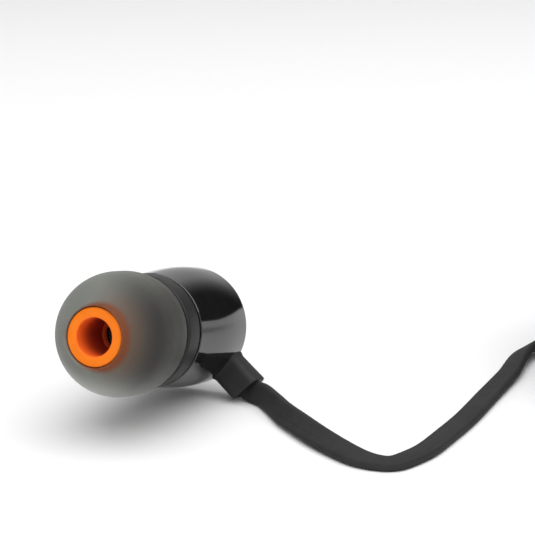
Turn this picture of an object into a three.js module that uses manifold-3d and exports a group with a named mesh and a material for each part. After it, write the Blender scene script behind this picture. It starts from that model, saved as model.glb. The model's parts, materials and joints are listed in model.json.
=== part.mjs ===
// Wired in-ear earphones: two earbuds with flat boots, two branch cables, a splitter, a one-button
// remote, the trunk cable and its 3.5 mm plug. Millimetres, +Z up, everything lies on z = 0.
// The origin is the middle of the pair of earbuds, on the surface that they lie on.
import * as THREE from 'three';
import { mergeVertices } from 'three/addons/utils/BufferGeometryUtils.js';
import Module from 'manifold-3d';

const wasm = await Module();
wasm.setup();

// ---- Driving dimensions -------------------------------------------------------------------
const GAP = 0.15;              // between pieces that are glued or pressed together
const CORD_GAP = 0.3;          // between a cord's end and what it goes into
const ROUND = 24;              // facets round an outer turned piece
const ROUND_IN = 16;           // facets round a piece inside the housing

// Ear tip, measured along the earbud's axis from the front of its orange core
const DOME_RADIUS = 6.1;
const DOME_CENTRE = 5.11;
const DOME_SKIRT = 1.3;          // straight part behind the dome's widest place
const DOME_RIM = 8.5;
const DOME_WALL = 0.5;
const CORE_RADIUS = 2.86;
const CORE_BORE = 1.85;
const BORE_LIP = 1.6;           // radius of the lip at the bore's inner end
const LIP_LENGTH = 0.5;
const CORE_LENGTH = 8.5;
const CORE_LIP = 0.3;

// Front housing and its nozzle
const NOZZLE_START = 5.9;
const NOZZLE_RADIUS = 2.3;
const NOZZLE_BORE = 1.7;
const FRONT_GAP = 0.6;
const FRONT_START = CORE_LENGTH + FRONT_GAP;
const FRONT_DEPTH = 2.4;
const FRONT_END = FRONT_START + FRONT_DEPTH;
const FRONT_RADIUS = 5.75;
const FRONT_ROUND = 0.3;
const FRONT_WALL = 0.65;
const SCREEN_THICK = 0.25;
const SCREEN_CLEARANCE = 0.05;
const SCREEN_DEPTH = 0.3;
const GASKET_THICK = 0.15;
const GASKET_INSET = 0.2;

// Rear shell and cap
const SHELL_LENGTH = 11.0;
const SHELL_RADIUS = 5.75;
const SHELL_TAPER = -0.4;        // below zero: it widens to the rear
const SHELL_BULGE = 0.22;        // by which the shell swells behind its middle
const SHELL_ROUND = 0.7;
const SHELL_WALL = 0.65;
const CAP_THICK = 0.9;
const CAP_RECESS = 0.25;
const CAP_BEVEL = 0.2;
const WIRE_HOLE = 0.6;

// Driver
const FRAME_RADIUS = 4.95;
const FRAME_WALL = 0.4;
const FRAME_DEPTH = 2.6;
const MAGNET_RADIUS = 2.0;
const MAGNET_LENGTH = 1.4;
const POLE_THICK = 0.4;
const COIL_RADIUS = 2.5;
const COIL_WALL = 0.25;
const COIL_LENGTH = 1.5;
const YOKE_WALL = 0.5;
const FILM_THICK = 0.2;
const BOARD_THICK = 0.5;
const SWITCH_RADIUS = 1.1;
const SWITCH_CLEARANCE = 0.6;
const MICROPHONE_RADIUS = 1.0;
const MICROPHONE_HEIGHT = 1.0;
const MICROPHONE_FROM = 3.2;
const BOARD_LENGTH = 5;
const BOARD_WIDTH = 3;

// Boot on the side of the rear shell
const BOOT_BACK = 1.8;         // its middle, ahead of the shell's rear end
const BOOT_REACH = 3.3;        // how far it stands out of the shell
const BOOT_ALONG = 3.4;        // its size along the earbud's axis
const BOOT_ACROSS = 3.4;
const BOOT_LEAN = 0.45;        // share by which its front half is thinner at its root
const BOOT_SLANT = 0.19;       // slope of its end face
const BOOT_ROUND = 0.8;

// Where the left earbud lies: its core's front, its heading and its tilt
const BUD_X = -36.3;
const BUD_Y = -10.5;
const BUD_HEADING = 22.6;      // degrees from +Y towards +X, front to back
const BUD_TILT = 12.66;        // degrees that the nozzle points up
const BUD_ROLL = 37.4;         // degrees that the boot points down

// Flat cord
const CORD_WIDTH = 2.4;
const CORD_THICK = 0.9;
const LOOP_STEPS = 20;
const LOOP_PITCH = 2.05;       // from one turn to the next, outwards
const LAYER_RISE = 2.9;        // from the lower layer of a coil to the upper
const ON_EDGE = 90;            // roll of a cord that stands on its edge
const BOOT_EXIT_ROLL = 105;

// The right earbud is the left one turned half round about the origin, then moved
const RIGHT_SHIFT = { x: 31.7, y: 8.5 };

// One pile of coils: the left branch's, the right branch's on it, and the trunk's on top
const PILE_X = 29.5;
const PILE_Y = 13;
const LEFT_COIL = { outer: 15, turns: 7 / 3, start: 120, ccw: false, floor: 0 };
const RIGHT_COIL = { outer: 15, turns: 40 / 9, start: 35, ccw: true, floor: 2 * LAYER_RISE };
const TRUNK_COIL = { outer: 16.5, turns: 86 / 9, start: 0, ccw: true, floor: 4 * LAYER_RISE };

// Splitter and remote are laid out along Y, and then turned to lie along X
const STRIP_SHIFT = { x: 34.7, y: 38.2 };

// Splitter
const SPLIT_X = 47.2;
const SPLIT_FRONT = -14;
const SPLIT_LENGTH = 16;
const SPLIT_WIDTH = 6.4;
const SPLIT_NECK = 3.4;
const SPLIT_HEIGHT = 3.4;
const INLET_OFFSET = 1.25;     // of each branch from the splitter's middle

// Remote
const REMOTE_X = 58;
const REMOTE_FRONT = -14;
const REMOTE_LENGTH = 20;
const REMOTE_WIDTH = 5.6;
const REMOTE_HEIGHT = 4.4;
const REMOTE_ROUND = 1.6;
const REMOTE_WALL = 0.8;
const REMOTE_INSIDE_ROUND = 0.3;
const BUTTON_LENGTH = 7;
const BUTTON_WIDTH = 2.8;
const BUTTON_PROUD = 0.5;
const BUTTON_THICK = 0.9;
const RUN_GAP = 0.15;          // round the button in its slot

// Plug
const PLUG_X = PILE_X;
const PLUG_START = -1.5;
const PLUG_Z = 20.2;           // it lies on the pile
const RELIEF_LENGTH = 5;
const RELIEF_START = 1.4;
const RELIEF_RADIUS = 2.0;
const GRIP_LENGTH = 10;
const GRIP_RADIUS = 3.0;
const JACK_RADIUS = 1.75;
const JACK_SLEEVE = 5.5;
const JACK_RING = 2.0;
const JACK_TIP = 4.0;
const JACK_BAND = 0.7;
const JACK_CORE = 0.8;
const BAND_GAP = 0.05;
const BAND_INSET = 0.1;
const TIP_NECK = 0.45;

// ---- Shapes --------------------------------------------------------------------------------
const radians = THREE.MathUtils.degToRad;

function closed(geometry) {
  geometry.deleteAttribute('normal');
  geometry.deleteAttribute('uv');
  return mergeVertices(geometry, 1e-5);
}

function toSolid(geometry) {
  const mesh = closed(geometry.clone());
  return new wasm.Manifold(new wasm.Mesh({
    numProp: 3,
    vertProperties: new Float32Array(mesh.attributes.position.array),
    triVerts: new Uint32Array(mesh.index.array),
  }));
}

function toGeometry(solid) {
  const mesh = solid.getMesh();
  const geometry = new THREE.BufferGeometry();
  geometry.setAttribute('position', new THREE.BufferAttribute(mesh.vertProperties, 3));
  geometry.setIndex(new THREE.BufferAttribute(mesh.triVerts, 1));
  return geometry;
}

// A turned piece about +Z. The profile is a closed loop of [radius, z], or starts and ends on the axis.
function turned(profile, facets = ROUND) {
  const onAxis = profile[0][0] === 0 && profile.at(-1)[0] === 0;
  const loop = onAxis ? profile : [...profile, profile[0]];
  const points = loop.map(([radius, z]) => new THREE.Vector2(radius, z));
  const geometry = closed(new THREE.LatheGeometry(points, facets));
  geometry.rotateX(Math.PI / 2);
  const area = loop.reduce((sum, [radius, z], i) => {
    const [nextRadius, nextZ] = loop[(i + 1) % loop.length];
    return sum + radius * nextZ - nextRadius * z;
  }, 0);
  return area > 0 ? geometry : flipped(geometry);
}

function flipped(geometry) {
  const index = Array.from(geometry.index.array);
  for (let i = 0; i < index.length; i += 3) {
    [index[i + 1], index[i + 2]] = [index[i + 2], index[i + 1]];
  }
  geometry.setIndex(index);
  return geometry;
}

// Points on an arc of a profile, as [radius, z], about a centre on it
function arc(radius, z, size, from, to, steps) {
  return Array.from({ length: steps + 1 }, (_, i) => {
    const angle = radians(from + (to - from) * i / steps);
    return [radius + size * Math.sin(angle), z + size * Math.cos(angle)];
  });
}

function ring(inner, outer, from, to, facets = ROUND) {
  return turned([[inner, from], [outer, from], [outer, to], [inner, to]], facets);
}

function disc(radius, from, to, facets = ROUND) {
  return turned([[0, from], [radius, from], [radius, to], [0, to]], facets);
}

// A bar along +Z with rounded corners, centred on its end at z = 0
function bar(width, height, length, round, steps = 3) {
  const shape = new THREE.Shape();
  const x = width / 2 - round;
  const y = height / 2 - round;
  shape.absarc(x, y, round, 0, Math.PI / 2);
  shape.absarc(-x, y, round, Math.PI / 2, Math.PI);
  shape.absarc(-x, -y, round, Math.PI, Math.PI * 1.5);
  shape.absarc(x, -y, round, Math.PI * 1.5, Math.PI * 2);
  const options = { depth: length, bevelEnabled: false, curveSegments: steps };
  return closed(new THREE.ExtrudeGeometry(shape, options));
}

function box(width, depth, height) {
  return closed(new THREE.BoxGeometry(width, depth, height));
}

// Scales the far end of a bar along +Z to a share of its near end
function tapered(geometry, length, shareX, shareY) {
  const place = geometry.attributes.position;
  for (let i = 0; i < place.count; i++) {
    const along = place.getZ(i) / length;
    place.setX(i, place.getX(i) * (1 + (shareX - 1) * along));
    place.setY(i, place.getY(i) * (1 + (shareY - 1) * along));
  }
  return geometry;
}

// ---- Materials ------------------------------------------------------------------------------
function finish(color, roughness, metalness = 0) {
  return new THREE.MeshStandardMaterial({ color, roughness, metalness });
}
const MATERIALS = {
  silicone: finish(0x7d817b, 0.55),
  orange: finish(0xf07818, 0.5),
  satin: finish(0x3c3c3d, 0.55),
  gloss: finish(0x1b1b1c, 0.15),
  rubber: finish(0x2b2b2c, 0.6),
  cord: finish(0x303031, 0.6),
  metal: finish(0xc8c8c8, 0.3, 1),
  gold: finish(0xd8b25a, 0.3, 1),
  copper: finish(0xb0683a, 0.4, 1),
  board: finish(0x1f5a34, 0.6),
  film: finish(0xd8d4c8, 0.4),
};

const model = new THREE.Group();

function piece(name, geometry, material, parent = model) {
  const mesh = new THREE.Mesh(geometry, MATERIALS[material]);
  mesh.name = name;
  parent.add(mesh);
  return mesh;
}

// ---- Earbud ---------------------------------------------------------------------------------
const SHELL_START = FRONT_END + GASKET_THICK + 2 * GAP;
const SHELL_END = SHELL_START + SHELL_LENGTH;
const SHELL_REAR = SHELL_RADIUS - SHELL_TAPER;
const BOOT_S = SHELL_END - BOOT_BACK;
const BOOT_END = SHELL_REAR + BOOT_REACH;
const SOCKET_RADIUS = NOZZLE_RADIUS + GAP;

// z on the dome's sphere of a given radius where it is as far from the axis as stated
const domeFront = (size, away) => DOME_CENTRE - Math.sqrt(size * size - away * away);

function tipDome() {
  const away = CORE_RADIUS + GAP;
  const inner = DOME_RADIUS - DOME_WALL;
  const skirt = DOME_CENTRE + DOME_SKIRT;
  const close = Math.asin((DOME_RIM - skirt) / DOME_RADIUS) * 180 / Math.PI;
  const startAngle = Math.asin((away + 0.2) / DOME_RADIUS) * 180 / Math.PI;
  const outside = [
    ...arc(0, DOME_CENTRE, DOME_RADIUS, 180 - startAngle, 90, 6),
    ...arc(0, skirt, DOME_RADIUS, 90, 90 - close, 2),
  ];
  const inside = [
    ...arc(0, skirt, inner, 90 - close, 90, 2), ...arc(0, DOME_CENTRE, inner, 90, 180 - startAngle - 8, 5),
  ];
  const root = inside.at(-1)[1] + DOME_WALL;
  return turned([[away, domeFront(DOME_RADIUS, away) + 0.2], ...outside, ...inside, [away, root]]);
}

function tipCore() {
  const step = NOZZLE_START - GAP;
  const round = CORE_LIP / 2;
  return turned([
    [CORE_BORE, round], [CORE_BORE + round, 0], [CORE_RADIUS - round, 0], [CORE_RADIUS, round],
    [CORE_RADIUS, CORE_LENGTH], [SOCKET_RADIUS, CORE_LENGTH], [SOCKET_RADIUS, step], [BORE_LIP, step],
    [BORE_LIP, step - LIP_LENGTH], [CORE_BORE, step - LIP_LENGTH],
  ]);
}

function frontHousing() {
  const cavity = FRONT_START + FRONT_WALL;
  return turned([
    [NOZZLE_BORE, NOZZLE_START], [NOZZLE_RADIUS, NOZZLE_START], [NOZZLE_RADIUS, FRONT_START],
    [FRONT_RADIUS - FRONT_ROUND, FRONT_START],
    [FRONT_RADIUS - FRONT_ROUND * 0.3, FRONT_START + FRONT_ROUND * 0.3],
    [FRONT_RADIUS, FRONT_START + FRONT_ROUND], [FRONT_RADIUS, FRONT_END],
    [FRAME_RADIUS + GAP, FRONT_END], [FRAME_RADIUS + GAP, cavity], [NOZZLE_BORE, cavity],
  ]);
}

// Radius of the shell's outside, for a share of its length from 0 to 1
function swollen(part) {
  return SHELL_RADIUS - SHELL_TAPER * part + SHELL_BULGE * Math.sin(Math.PI * part ** 1.3);
}

// Points along the shell's outside, from its front edge to its rear one
function swell(steps) {
  const length = SHELL_LENGTH - SHELL_ROUND;
  return Array.from({ length: steps - 1 }, (_, i) => {
    const part = (i + 1) / steps;
    return [swollen(part), SHELL_START + length * part];
  });
}

function rearShell() {
  const inside = SHELL_RADIUS - SHELL_WALL;
  const insideRear = SHELL_REAR - SHELL_WALL;
  const shell = turned([
    [inside, SHELL_START], [SHELL_RADIUS, SHELL_START], ...swell(5),
    ...arc(SHELL_REAR - SHELL_ROUND, SHELL_END - SHELL_ROUND, SHELL_ROUND, 90, 0, 3),
    [insideRear, SHELL_END],
  ]);
  const hole = new THREE.CylinderGeometry(WIRE_HOLE, WIRE_HOLE, 2 * SHELL_WALL + 1, 10);
  hole.rotateZ(Math.PI / 2);
  hole.translate(SHELL_REAR - SHELL_WALL / 2, 0, BOOT_S);
  return toGeometry(toSolid(shell).subtract(toSolid(hole)));
}

function rearCap() {
  const radius = SHELL_REAR - SHELL_WALL - GAP;
  const face = SHELL_END - CAP_RECESS;
  return turned([
    [0, face - CAP_THICK], [radius, face - CAP_THICK], [radius, face - CAP_BEVEL], [radius - CAP_BEVEL, face],
    [0, face],
  ]);
}

function cableBoot() {
  const base = SHELL_REAR - 1.6;
  const length = BOOT_END - base;
  const solid = tapered(bar(BOOT_ACROSS, BOOT_ALONG, length, BOOT_ROUND, 4), length, 1.0, 0.92);
  const place = solid.attributes.position;
  for (let i = 0; i < place.count; i++) {
    const far = place.getZ(i) > length / 2;
    if (far) place.setZ(i, place.getZ(i) - BOOT_SLANT * place.getX(i));
    else if (place.getY(i) < 0) place.setY(i, place.getY(i) * (1 - BOOT_LEAN));
  }
  solid.rotateZ(Math.PI / 2);
  solid.rotateY(Math.PI / 2);
  solid.translate(base, 0, BOOT_S);
  const front = (BOOT_S - BOOT_ALONG / 2 - SHELL_START) / (SHELL_LENGTH - SHELL_ROUND);
  const seat = disc(swollen(front) + GAP / 2, 0, SHELL_END + 5, 2 * ROUND);
  return toGeometry(toSolid(solid).subtract(toSolid(seat)));
}

function earbud(side) {
  const bud = new THREE.Group();
  const screenStart = NOZZLE_START + SCREEN_DEPTH;
  const gasketStart = FRONT_END + GAP;
  const frameStart = FRONT_START + FRONT_WALL + GAP;
  const frameEnd = frameStart + FRAME_DEPTH;
  const film = frameStart + 0.3;
  const pole = film + FILM_THICK + 0.5;
  const magnet = pole + POLE_THICK + GAP;
  const yokeIn = COIL_RADIUS + COIL_WALL / 2 + GAP;
  const yokeOut = yokeIn + YOKE_WALL;
  const yokeFloor = magnet + MAGNET_LENGTH + GAP;
  const yokeEnd = yokeFloor + YOKE_WALL;
  piece(`${side}_tip_dome`, tipDome(), 'silicone', bud);
  piece(`${side}_tip_core`, tipCore(), 'orange', bud);
  piece(`${side}_front_housing`, frontHousing(), 'satin', bud);
  const screen = disc(NOZZLE_BORE - SCREEN_CLEARANCE, screenStart, screenStart + SCREEN_THICK, ROUND_IN);
  piece(`${side}_nozzle_screen`, screen, 'metal', bud);
  const gasketOut = SHELL_RADIUS - GASKET_INSET;
  const gasket = ring(FRAME_RADIUS + GAP, gasketOut, gasketStart, gasketStart + GASKET_THICK);
  piece(`${side}_gasket`, gasket, 'rubber', bud);
  piece(`${side}_driver_frame`, turned([
    [FRAME_RADIUS - FRAME_WALL, frameStart], [FRAME_RADIUS, frameStart], [FRAME_RADIUS, frameEnd],
    [yokeOut + GAP, frameEnd], [yokeOut + GAP, frameEnd - FRAME_WALL],
    [FRAME_RADIUS - FRAME_WALL, frameEnd - FRAME_WALL],
  ], ROUND), 'satin', bud);
  const filmRadius = FRAME_RADIUS - FRAME_WALL - GAP;
  piece(`${side}_diaphragm`, disc(filmRadius, film, film + FILM_THICK, ROUND_IN), 'film', bud);
  const coilStart = film + FILM_THICK + GAP;
  const coilIn = COIL_RADIUS - COIL_WALL / 2;
  const voiceCoil = ring(coilIn, coilIn + COIL_WALL, coilStart, coilStart + COIL_LENGTH, ROUND_IN);
  piece(`${side}_voice_coil`, voiceCoil, 'copper', bud);
  piece(`${side}_pole_plate`, disc(MAGNET_RADIUS, pole, pole + POLE_THICK, ROUND_IN), 'metal', bud);
  piece(`${side}_magnet`, disc(MAGNET_RADIUS, magnet, magnet + MAGNET_LENGTH, ROUND_IN), 'metal', bud);
  piece(`${side}_yoke`, turned([
    [0, yokeFloor], [yokeIn, yokeFloor], [yokeIn, pole], [yokeOut, pole], [yokeOut, yokeEnd], [0, yokeEnd],
  ], ROUND_IN), 'metal', bud);
  const board = box(BOARD_LENGTH, BOARD_WIDTH, BOARD_THICK);
  board.translate(0, 0, yokeEnd + GAP + BOARD_THICK / 2);
  piece(`${side}_terminal_board`, board, 'board', bud);
  piece(`${side}_rear_shell`, rearShell(), 'gloss', bud);
  piece(`${side}_rear_cap`, rearCap(), 'gloss', bud);
  piece(`${side}_cable_boot`, cableBoot(), 'rubber', bud);
  return bud;
}

// The left earbud's own X points along its boot and its own Z from the tip to the rear.
function lay(bud) {
  const heading = radians(BUD_HEADING);
  const tilt = radians(BUD_TILT);
  const roll = radians(BUD_ROLL);
  const level = Math.cos(tilt);
  const back = new THREE.Vector3(Math.sin(heading) * level, Math.cos(heading) * level, -Math.sin(tilt));
  const side = new THREE.Vector3(Math.cos(heading), -Math.sin(heading), 0);
  const down = new THREE.Vector3().crossVectors(back, side);
  if (down.z > 0) down.negate();
  const boot = side.clone().multiplyScalar(Math.cos(roll)).addScaledVector(down, Math.sin(roll));
  const third = new THREE.Vector3().crossVectors(back, boot);
  bud.quaternion.setFromRotationMatrix(new THREE.Matrix4().makeBasis(boot, third, back));
  bud.position.set(BUD_X, BUD_Y, 0);
  bud.updateMatrixWorld(true);
  bud.position.z = -new THREE.Box3().setFromObject(bud, true).min.z;
  bud.updateMatrixWorld(true);
}

const leftBud = earbud('left');
lay(leftBud);
const rightTurn = new THREE.Group();
rightTurn.rotation.z = Math.PI;
rightTurn.position.set(RIGHT_SHIFT.x, RIGHT_SHIFT.y, 0);
const rightBud = earbud('right');
lay(rightBud);
rightTurn.add(rightBud);
model.add(leftBud, rightTurn);
const strip = new THREE.Group();
strip.rotation.z = -Math.PI / 2;
strip.position.set(STRIP_SHIFT.x, STRIP_SHIFT.y, 0);
model.add(strip);
model.updateMatrixWorld(true);

// ---- Cords ----------------------------------------------------------------------------------
// A route is a list of { point, roll }. Roll is the angle of the cord's broad side from level, and
// a point may say which way the cord's section faces there, such as square to the boot's end.
const half = (roll) => {
  const angle = radians(roll);
  return (Math.abs(Math.sin(angle)) * CORD_WIDTH + Math.abs(Math.cos(angle)) * CORD_THICK) / 2;
};
const at = (x, y, roll = ON_EDGE, lift = 0) => ({ point: new THREE.Vector3(x, y, half(roll) + lift), roll });

// Flat sections, as [across the broad side, across the thin side]
const SECTION_8 = [
  [1, -0.4], [1, 0.4], [0.75, 1], [-0.75, 1], [-1, 0.4], [-1, -0.4], [-0.75, -1], [0.75, -1],
];
const SECTION_6 = [[1, 0], [0.8, 1], [-0.8, 1], [-1, 0], [-0.8, -1], [0.8, -1]];

function sweep(route, section) {
  const places = [];
  const count = route.length;
  route.forEach(({ point, roll, facing }, i) => {
    const before = route[Math.max(i - 1, 0)].point;
    const after = route[Math.min(i + 1, count - 1)].point;
    const ahead = facing ?? after.clone().sub(before).normalize();
    const level = new THREE.Vector3(ahead.y, -ahead.x, 0).normalize();
    const up = new THREE.Vector3().crossVectors(level, ahead);
    const angle = radians(roll);
    const broad = level.clone().multiplyScalar(Math.cos(angle)).addScaledVector(up, Math.sin(angle));
    const thin = new THREE.Vector3().crossVectors(ahead, broad);
    for (const [across, through] of section) {
      const place = point.clone();
      place.addScaledVector(broad, across * CORD_WIDTH / 2);
      place.addScaledVector(thin, through * CORD_THICK / 2);
      places.push(place.x, place.y, place.z);
    }
  });
  const sides = section.length;
  const index = [];
  for (let i = 0; i < count - 1; i++) {
    for (let k = 0; k < sides; k++) {
      const a = i * sides + k;
      const b = i * sides + (k + 1) % sides;
      index.push(a, b, a + sides, b, b + sides, a + sides);
    }
  }
  for (let k = 1; k < sides - 1; k++) {
    index.push(0, k + 1, k);
    const last = (count - 1) * sides;
    index.push(last, last + k, last + k + 1);
  }
  const geometry = new THREE.BufferGeometry();
  geometry.setAttribute('position', new THREE.Float32BufferAttribute(places, 3));
  geometry.setIndex(index);
  return geometry;
}

// A smooth curve through hand-chosen points, in even steps
function smooth(points, step) {
  const curve = new THREE.CatmullRomCurve3(points.map(({ point }) => point), false, 'catmullrom', 0.5);
  const asPoints = points.map(({ roll }) => new THREE.Vector3(roll, 0, 0));
  const rolls = new THREE.CatmullRomCurve3(asPoints, false, 'catmullrom', 0.5);
  const count = Math.max(2, Math.round(curve.getLength() / step));
  return Array.from({ length: count + 1 }, (_, i) => {
    const u = curve.getUtoTmapping(i / count);
    const facing = i === 0 ? points[0].facing : i === count ? points.at(-1).facing : undefined;
    return { point: curve.getPoint(u), roll: rolls.getPoint(u).x, facing };
  });
}

// A two-layer coil: it winds inwards, climbs in the half turn at its middle and winds out again.
function coil({ outer, turns, start, ccw, floor }) {
  const middle = turns / 2;
  const way = ccw ? 1 : -1;
  const count = Math.round(turns * LOOP_STEPS);
  return Array.from({ length: count + 1 }, (_, i) => {
    const turn = i * turns / count;
    const radius = outer - LOOP_PITCH * (middle - Math.abs(turn - middle));
    const climb = THREE.MathUtils.smoothstep(turn, middle - 0.25, middle + 0.25);
    const angle = radians(start + way * 360 * turn);
    const lift = floor + LAYER_RISE * climb;
    return at(PILE_X + radius * Math.cos(angle), PILE_Y + radius * Math.sin(angle), ON_EDGE, lift);
  });
}

// Pulls one end of a route back along itself, to leave a gap
function pulled(route, atStart) {
  const end = atStart ? route[0] : route.at(-1);
  const next = atStart ? route[1] : route.at(-2);
  const way = next.point.clone().sub(end.point).normalize();
  end.point.addScaledVector(way, CORD_GAP);
  return route;
}

function bootExit(bud) {
  const point = bud.localToWorld(new THREE.Vector3(BOOT_END + CORD_GAP, 0, BOOT_S));
  const facing = bud.localToWorld(new THREE.Vector3(BOOT_END + CORD_GAP + 1, 0, BOOT_S)).sub(point);
  return { point, roll: BOOT_EXIT_ROLL, facing };
}
const leftExit = bootExit(leftBud);
const rightExit = bootExit(rightBud);

const leftCoil = coil(LEFT_COIL);
const rightCoil = coil(RIGHT_COIL);
const trunkCoil = coil(TRUNK_COIL);
const copy = ({ point, roll }) => ({ point: point.clone(), roll });

const LEFT_ROUTE = [
  at(-20.4, 2.6, 106), at(-19.3, -0.2, 112), at(-18.3, -2.9, 122), at(-16.8, -5.8, 135), at(-15.2, -8.6, 148),
  at(-13.4, -11.2, 160), at(-11.6, -13.3, 170), at(-9.8, -14.3, 178), at(-8.2, -14.4, 180),
  at(-6.7, -13.2, 180),
  at(-4.8, -10.9, 180), at(-2.8, -7.3, 180), at(-0.1, -2.0, 180), at(3.0, 4.3, 182), at(6.5, 11.1, 190),
  at(10.3, 18.4, 215), at(15.2, 23.0, 248),
];
const RIGHT_ROUTE = [
  at(51.6, 5.4, 104), at(49.9, 7.6, 98, 0.5), at(48.7, 10.6, 93, 2.0), at(47.3, 14.0, ON_EDGE, 3.9),
  at(45.2, 17.6, ON_EDGE, 5.3), at(43.1, 20.3, ON_EDGE, 5.8),
];
const LEFT_LEAD = [
  at(44.9, 8.5, ON_EDGE, 2.5), at(46.3, 4, ON_EDGE, 1.6), at(49.3, -1.5, ON_EDGE, 0.6), at(51.6, -7),
  at(51.2, -13), at(47.8, -17.8), at(43.5, -19.6),
];
const LEFT_BEND = [
  at(REMOTE_X, -17), at(57.2, -20.2), at(54.9, -22.7), at(51.9, -22.9), at(49.5, -20.9), at(48.5, -17.4),
];
const RIGHT_LEAD = [
  at(15.3, 6.2, ON_EDGE, 8.4), at(15.2, 2.6, ON_EDGE, 6.8), at(14.6, -1.4, ON_EDGE, 4.2),
  at(14.8, -4.9, ON_EDGE, 1.6), at(16.6, -7.3, ON_EDGE, 0.3),
];
const TRUNK_RISE = [
  at(40, -8.9, ON_EDGE, 0.1), at(43.6, -7.8, ON_EDGE, 1.0), at(46.6, -4.6, ON_EDGE, 3.0),
  at(47.9, 0.2, ON_EDGE, 6.4), at(47.1, 5.6, ON_EDGE, 10.0), at(46.2, 10, ON_EDGE, 11.5),
];
const TRUNK_LEAD = [
  at(14.9, 4.6, ON_EDGE, 14.6), at(16.9, 0.6, ON_EDGE, 15.4), at(20.6, -2.9, ON_EDGE, 16.6),
  at(25.4, -5.2, ON_EDGE, 18.0), at(28.4, -4.9, ON_EDGE, 18.7),
];

const remoteEnd = REMOTE_FRONT + REMOTE_LENGTH;
const splitEnd = SPLIT_FRONT + SPLIT_LENGTH;
const VISIBLE_STEP = 2.5;
const HIDDEN_STEP = 4;
const plugEnd = { point: new THREE.Vector3(PLUG_X, PLUG_START - CORD_GAP, PLUG_Z), roll: ON_EDGE };

function stretch(name, points, step) {
  piece(name, sweep(smooth(points, step), SECTION_8), 'cord');
}
const onEdge = { ...copy(leftCoil[0]), roll: LEFT_ROUTE.at(-1).roll };
stretch('left_cable', pulled([leftExit, ...LEFT_ROUTE, onEdge], false), VISIBLE_STEP);
piece('left_cable_coil', sweep(leftCoil, SECTION_6), 'cord');
const onStrip = ({ point, roll }) => ({ point: strip.localToWorld(point.clone()), roll });
const remoteInlet = onStrip(at(REMOTE_X, remoteEnd + CORD_GAP));
const remoteOutlet = onStrip(at(REMOTE_X, REMOTE_FRONT - CORD_GAP));
const leftInlet = onStrip(at(SPLIT_X + INLET_OFFSET, SPLIT_FRONT - CORD_GAP));
const rightInlet = onStrip(at(SPLIT_X - INLET_OFFSET, SPLIT_FRONT - CORD_GAP));
const splitOutlet = onStrip(at(SPLIT_X, splitEnd + CORD_GAP));
stretch('left_lead', pulled([copy(leftCoil.at(-1)), ...LEFT_LEAD, remoteInlet], true), HIDDEN_STEP);
stretch('left_bend', [remoteOutlet, ...LEFT_BEND.map(onStrip), leftInlet], VISIBLE_STEP);
stretch('right_cable', pulled([rightExit, ...RIGHT_ROUTE, copy(rightCoil[0])], false), VISIBLE_STEP);
piece('right_cable_coil', sweep(rightCoil, SECTION_6), 'cord');
stretch('right_lead', pulled([copy(rightCoil.at(-1)), ...RIGHT_LEAD, rightInlet], true), VISIBLE_STEP);
stretch('trunk_cable', pulled([splitOutlet, ...TRUNK_RISE, copy(trunkCoil[0])], false), HIDDEN_STEP);
piece('trunk_cable_coil', sweep(trunkCoil, SECTION_6), 'cord');
stretch('trunk_lead', pulled([copy(trunkCoil.at(-1)), ...TRUNK_LEAD, plugEnd], true), VISIBLE_STEP);

// The least clear space between the turns of a coil that are not next to each other along it
function leastGap(route) {
  let least = Infinity;
  for (let i = 0; i < route.length; i++) {
    for (let j = i + Math.round(LOOP_STEPS / 2); j < route.length; j++) {
      const away = route[i].point.clone().sub(route[j].point);
      const flat = Math.hypot(away.x, away.y) - CORD_THICK;
      const tall = Math.abs(away.z) - CORD_WIDTH;
      least = Math.min(least, Math.max(flat, tall));
    }
  }
  return least;
}
for (const [name, route] of Object.entries({ leftCoil, rightCoil, trunkCoil })) {
  console.log(name, 'least gap', leastGap(route).toFixed(2), 'mm');
}

// ---- Splitter -------------------------------------------------------------------------------
{
  const shape = new THREE.Shape();
  const wide = SPLIT_WIDTH / 2;
  const neck = SPLIT_NECK / 2;
  const round = 0.8;
  shape.moveTo(-wide + round, 0);
  shape.lineTo(wide - round, 0);
  shape.quadraticCurveTo(wide, 0, wide, round);
  shape.lineTo(wide, SPLIT_LENGTH * 0.45);
  shape.bezierCurveTo(wide, SPLIT_LENGTH * 0.7, neck, SPLIT_LENGTH * 0.7, neck, SPLIT_LENGTH);
  shape.lineTo(-neck, SPLIT_LENGTH);
  shape.bezierCurveTo(-neck, SPLIT_LENGTH * 0.7, -wide, SPLIT_LENGTH * 0.7, -wide, SPLIT_LENGTH * 0.45);
  shape.lineTo(-wide, round);
  shape.quadraticCurveTo(-wide, 0, -wide + round, 0);
  const options = { depth: SPLIT_HEIGHT, bevelEnabled: false, curveSegments: 5 };
  const geometry = closed(new THREE.ExtrudeGeometry(shape, options));
  geometry.translate(SPLIT_X, SPLIT_FRONT, 0);
  piece('splitter', geometry, 'rubber', strip);
}

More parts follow.
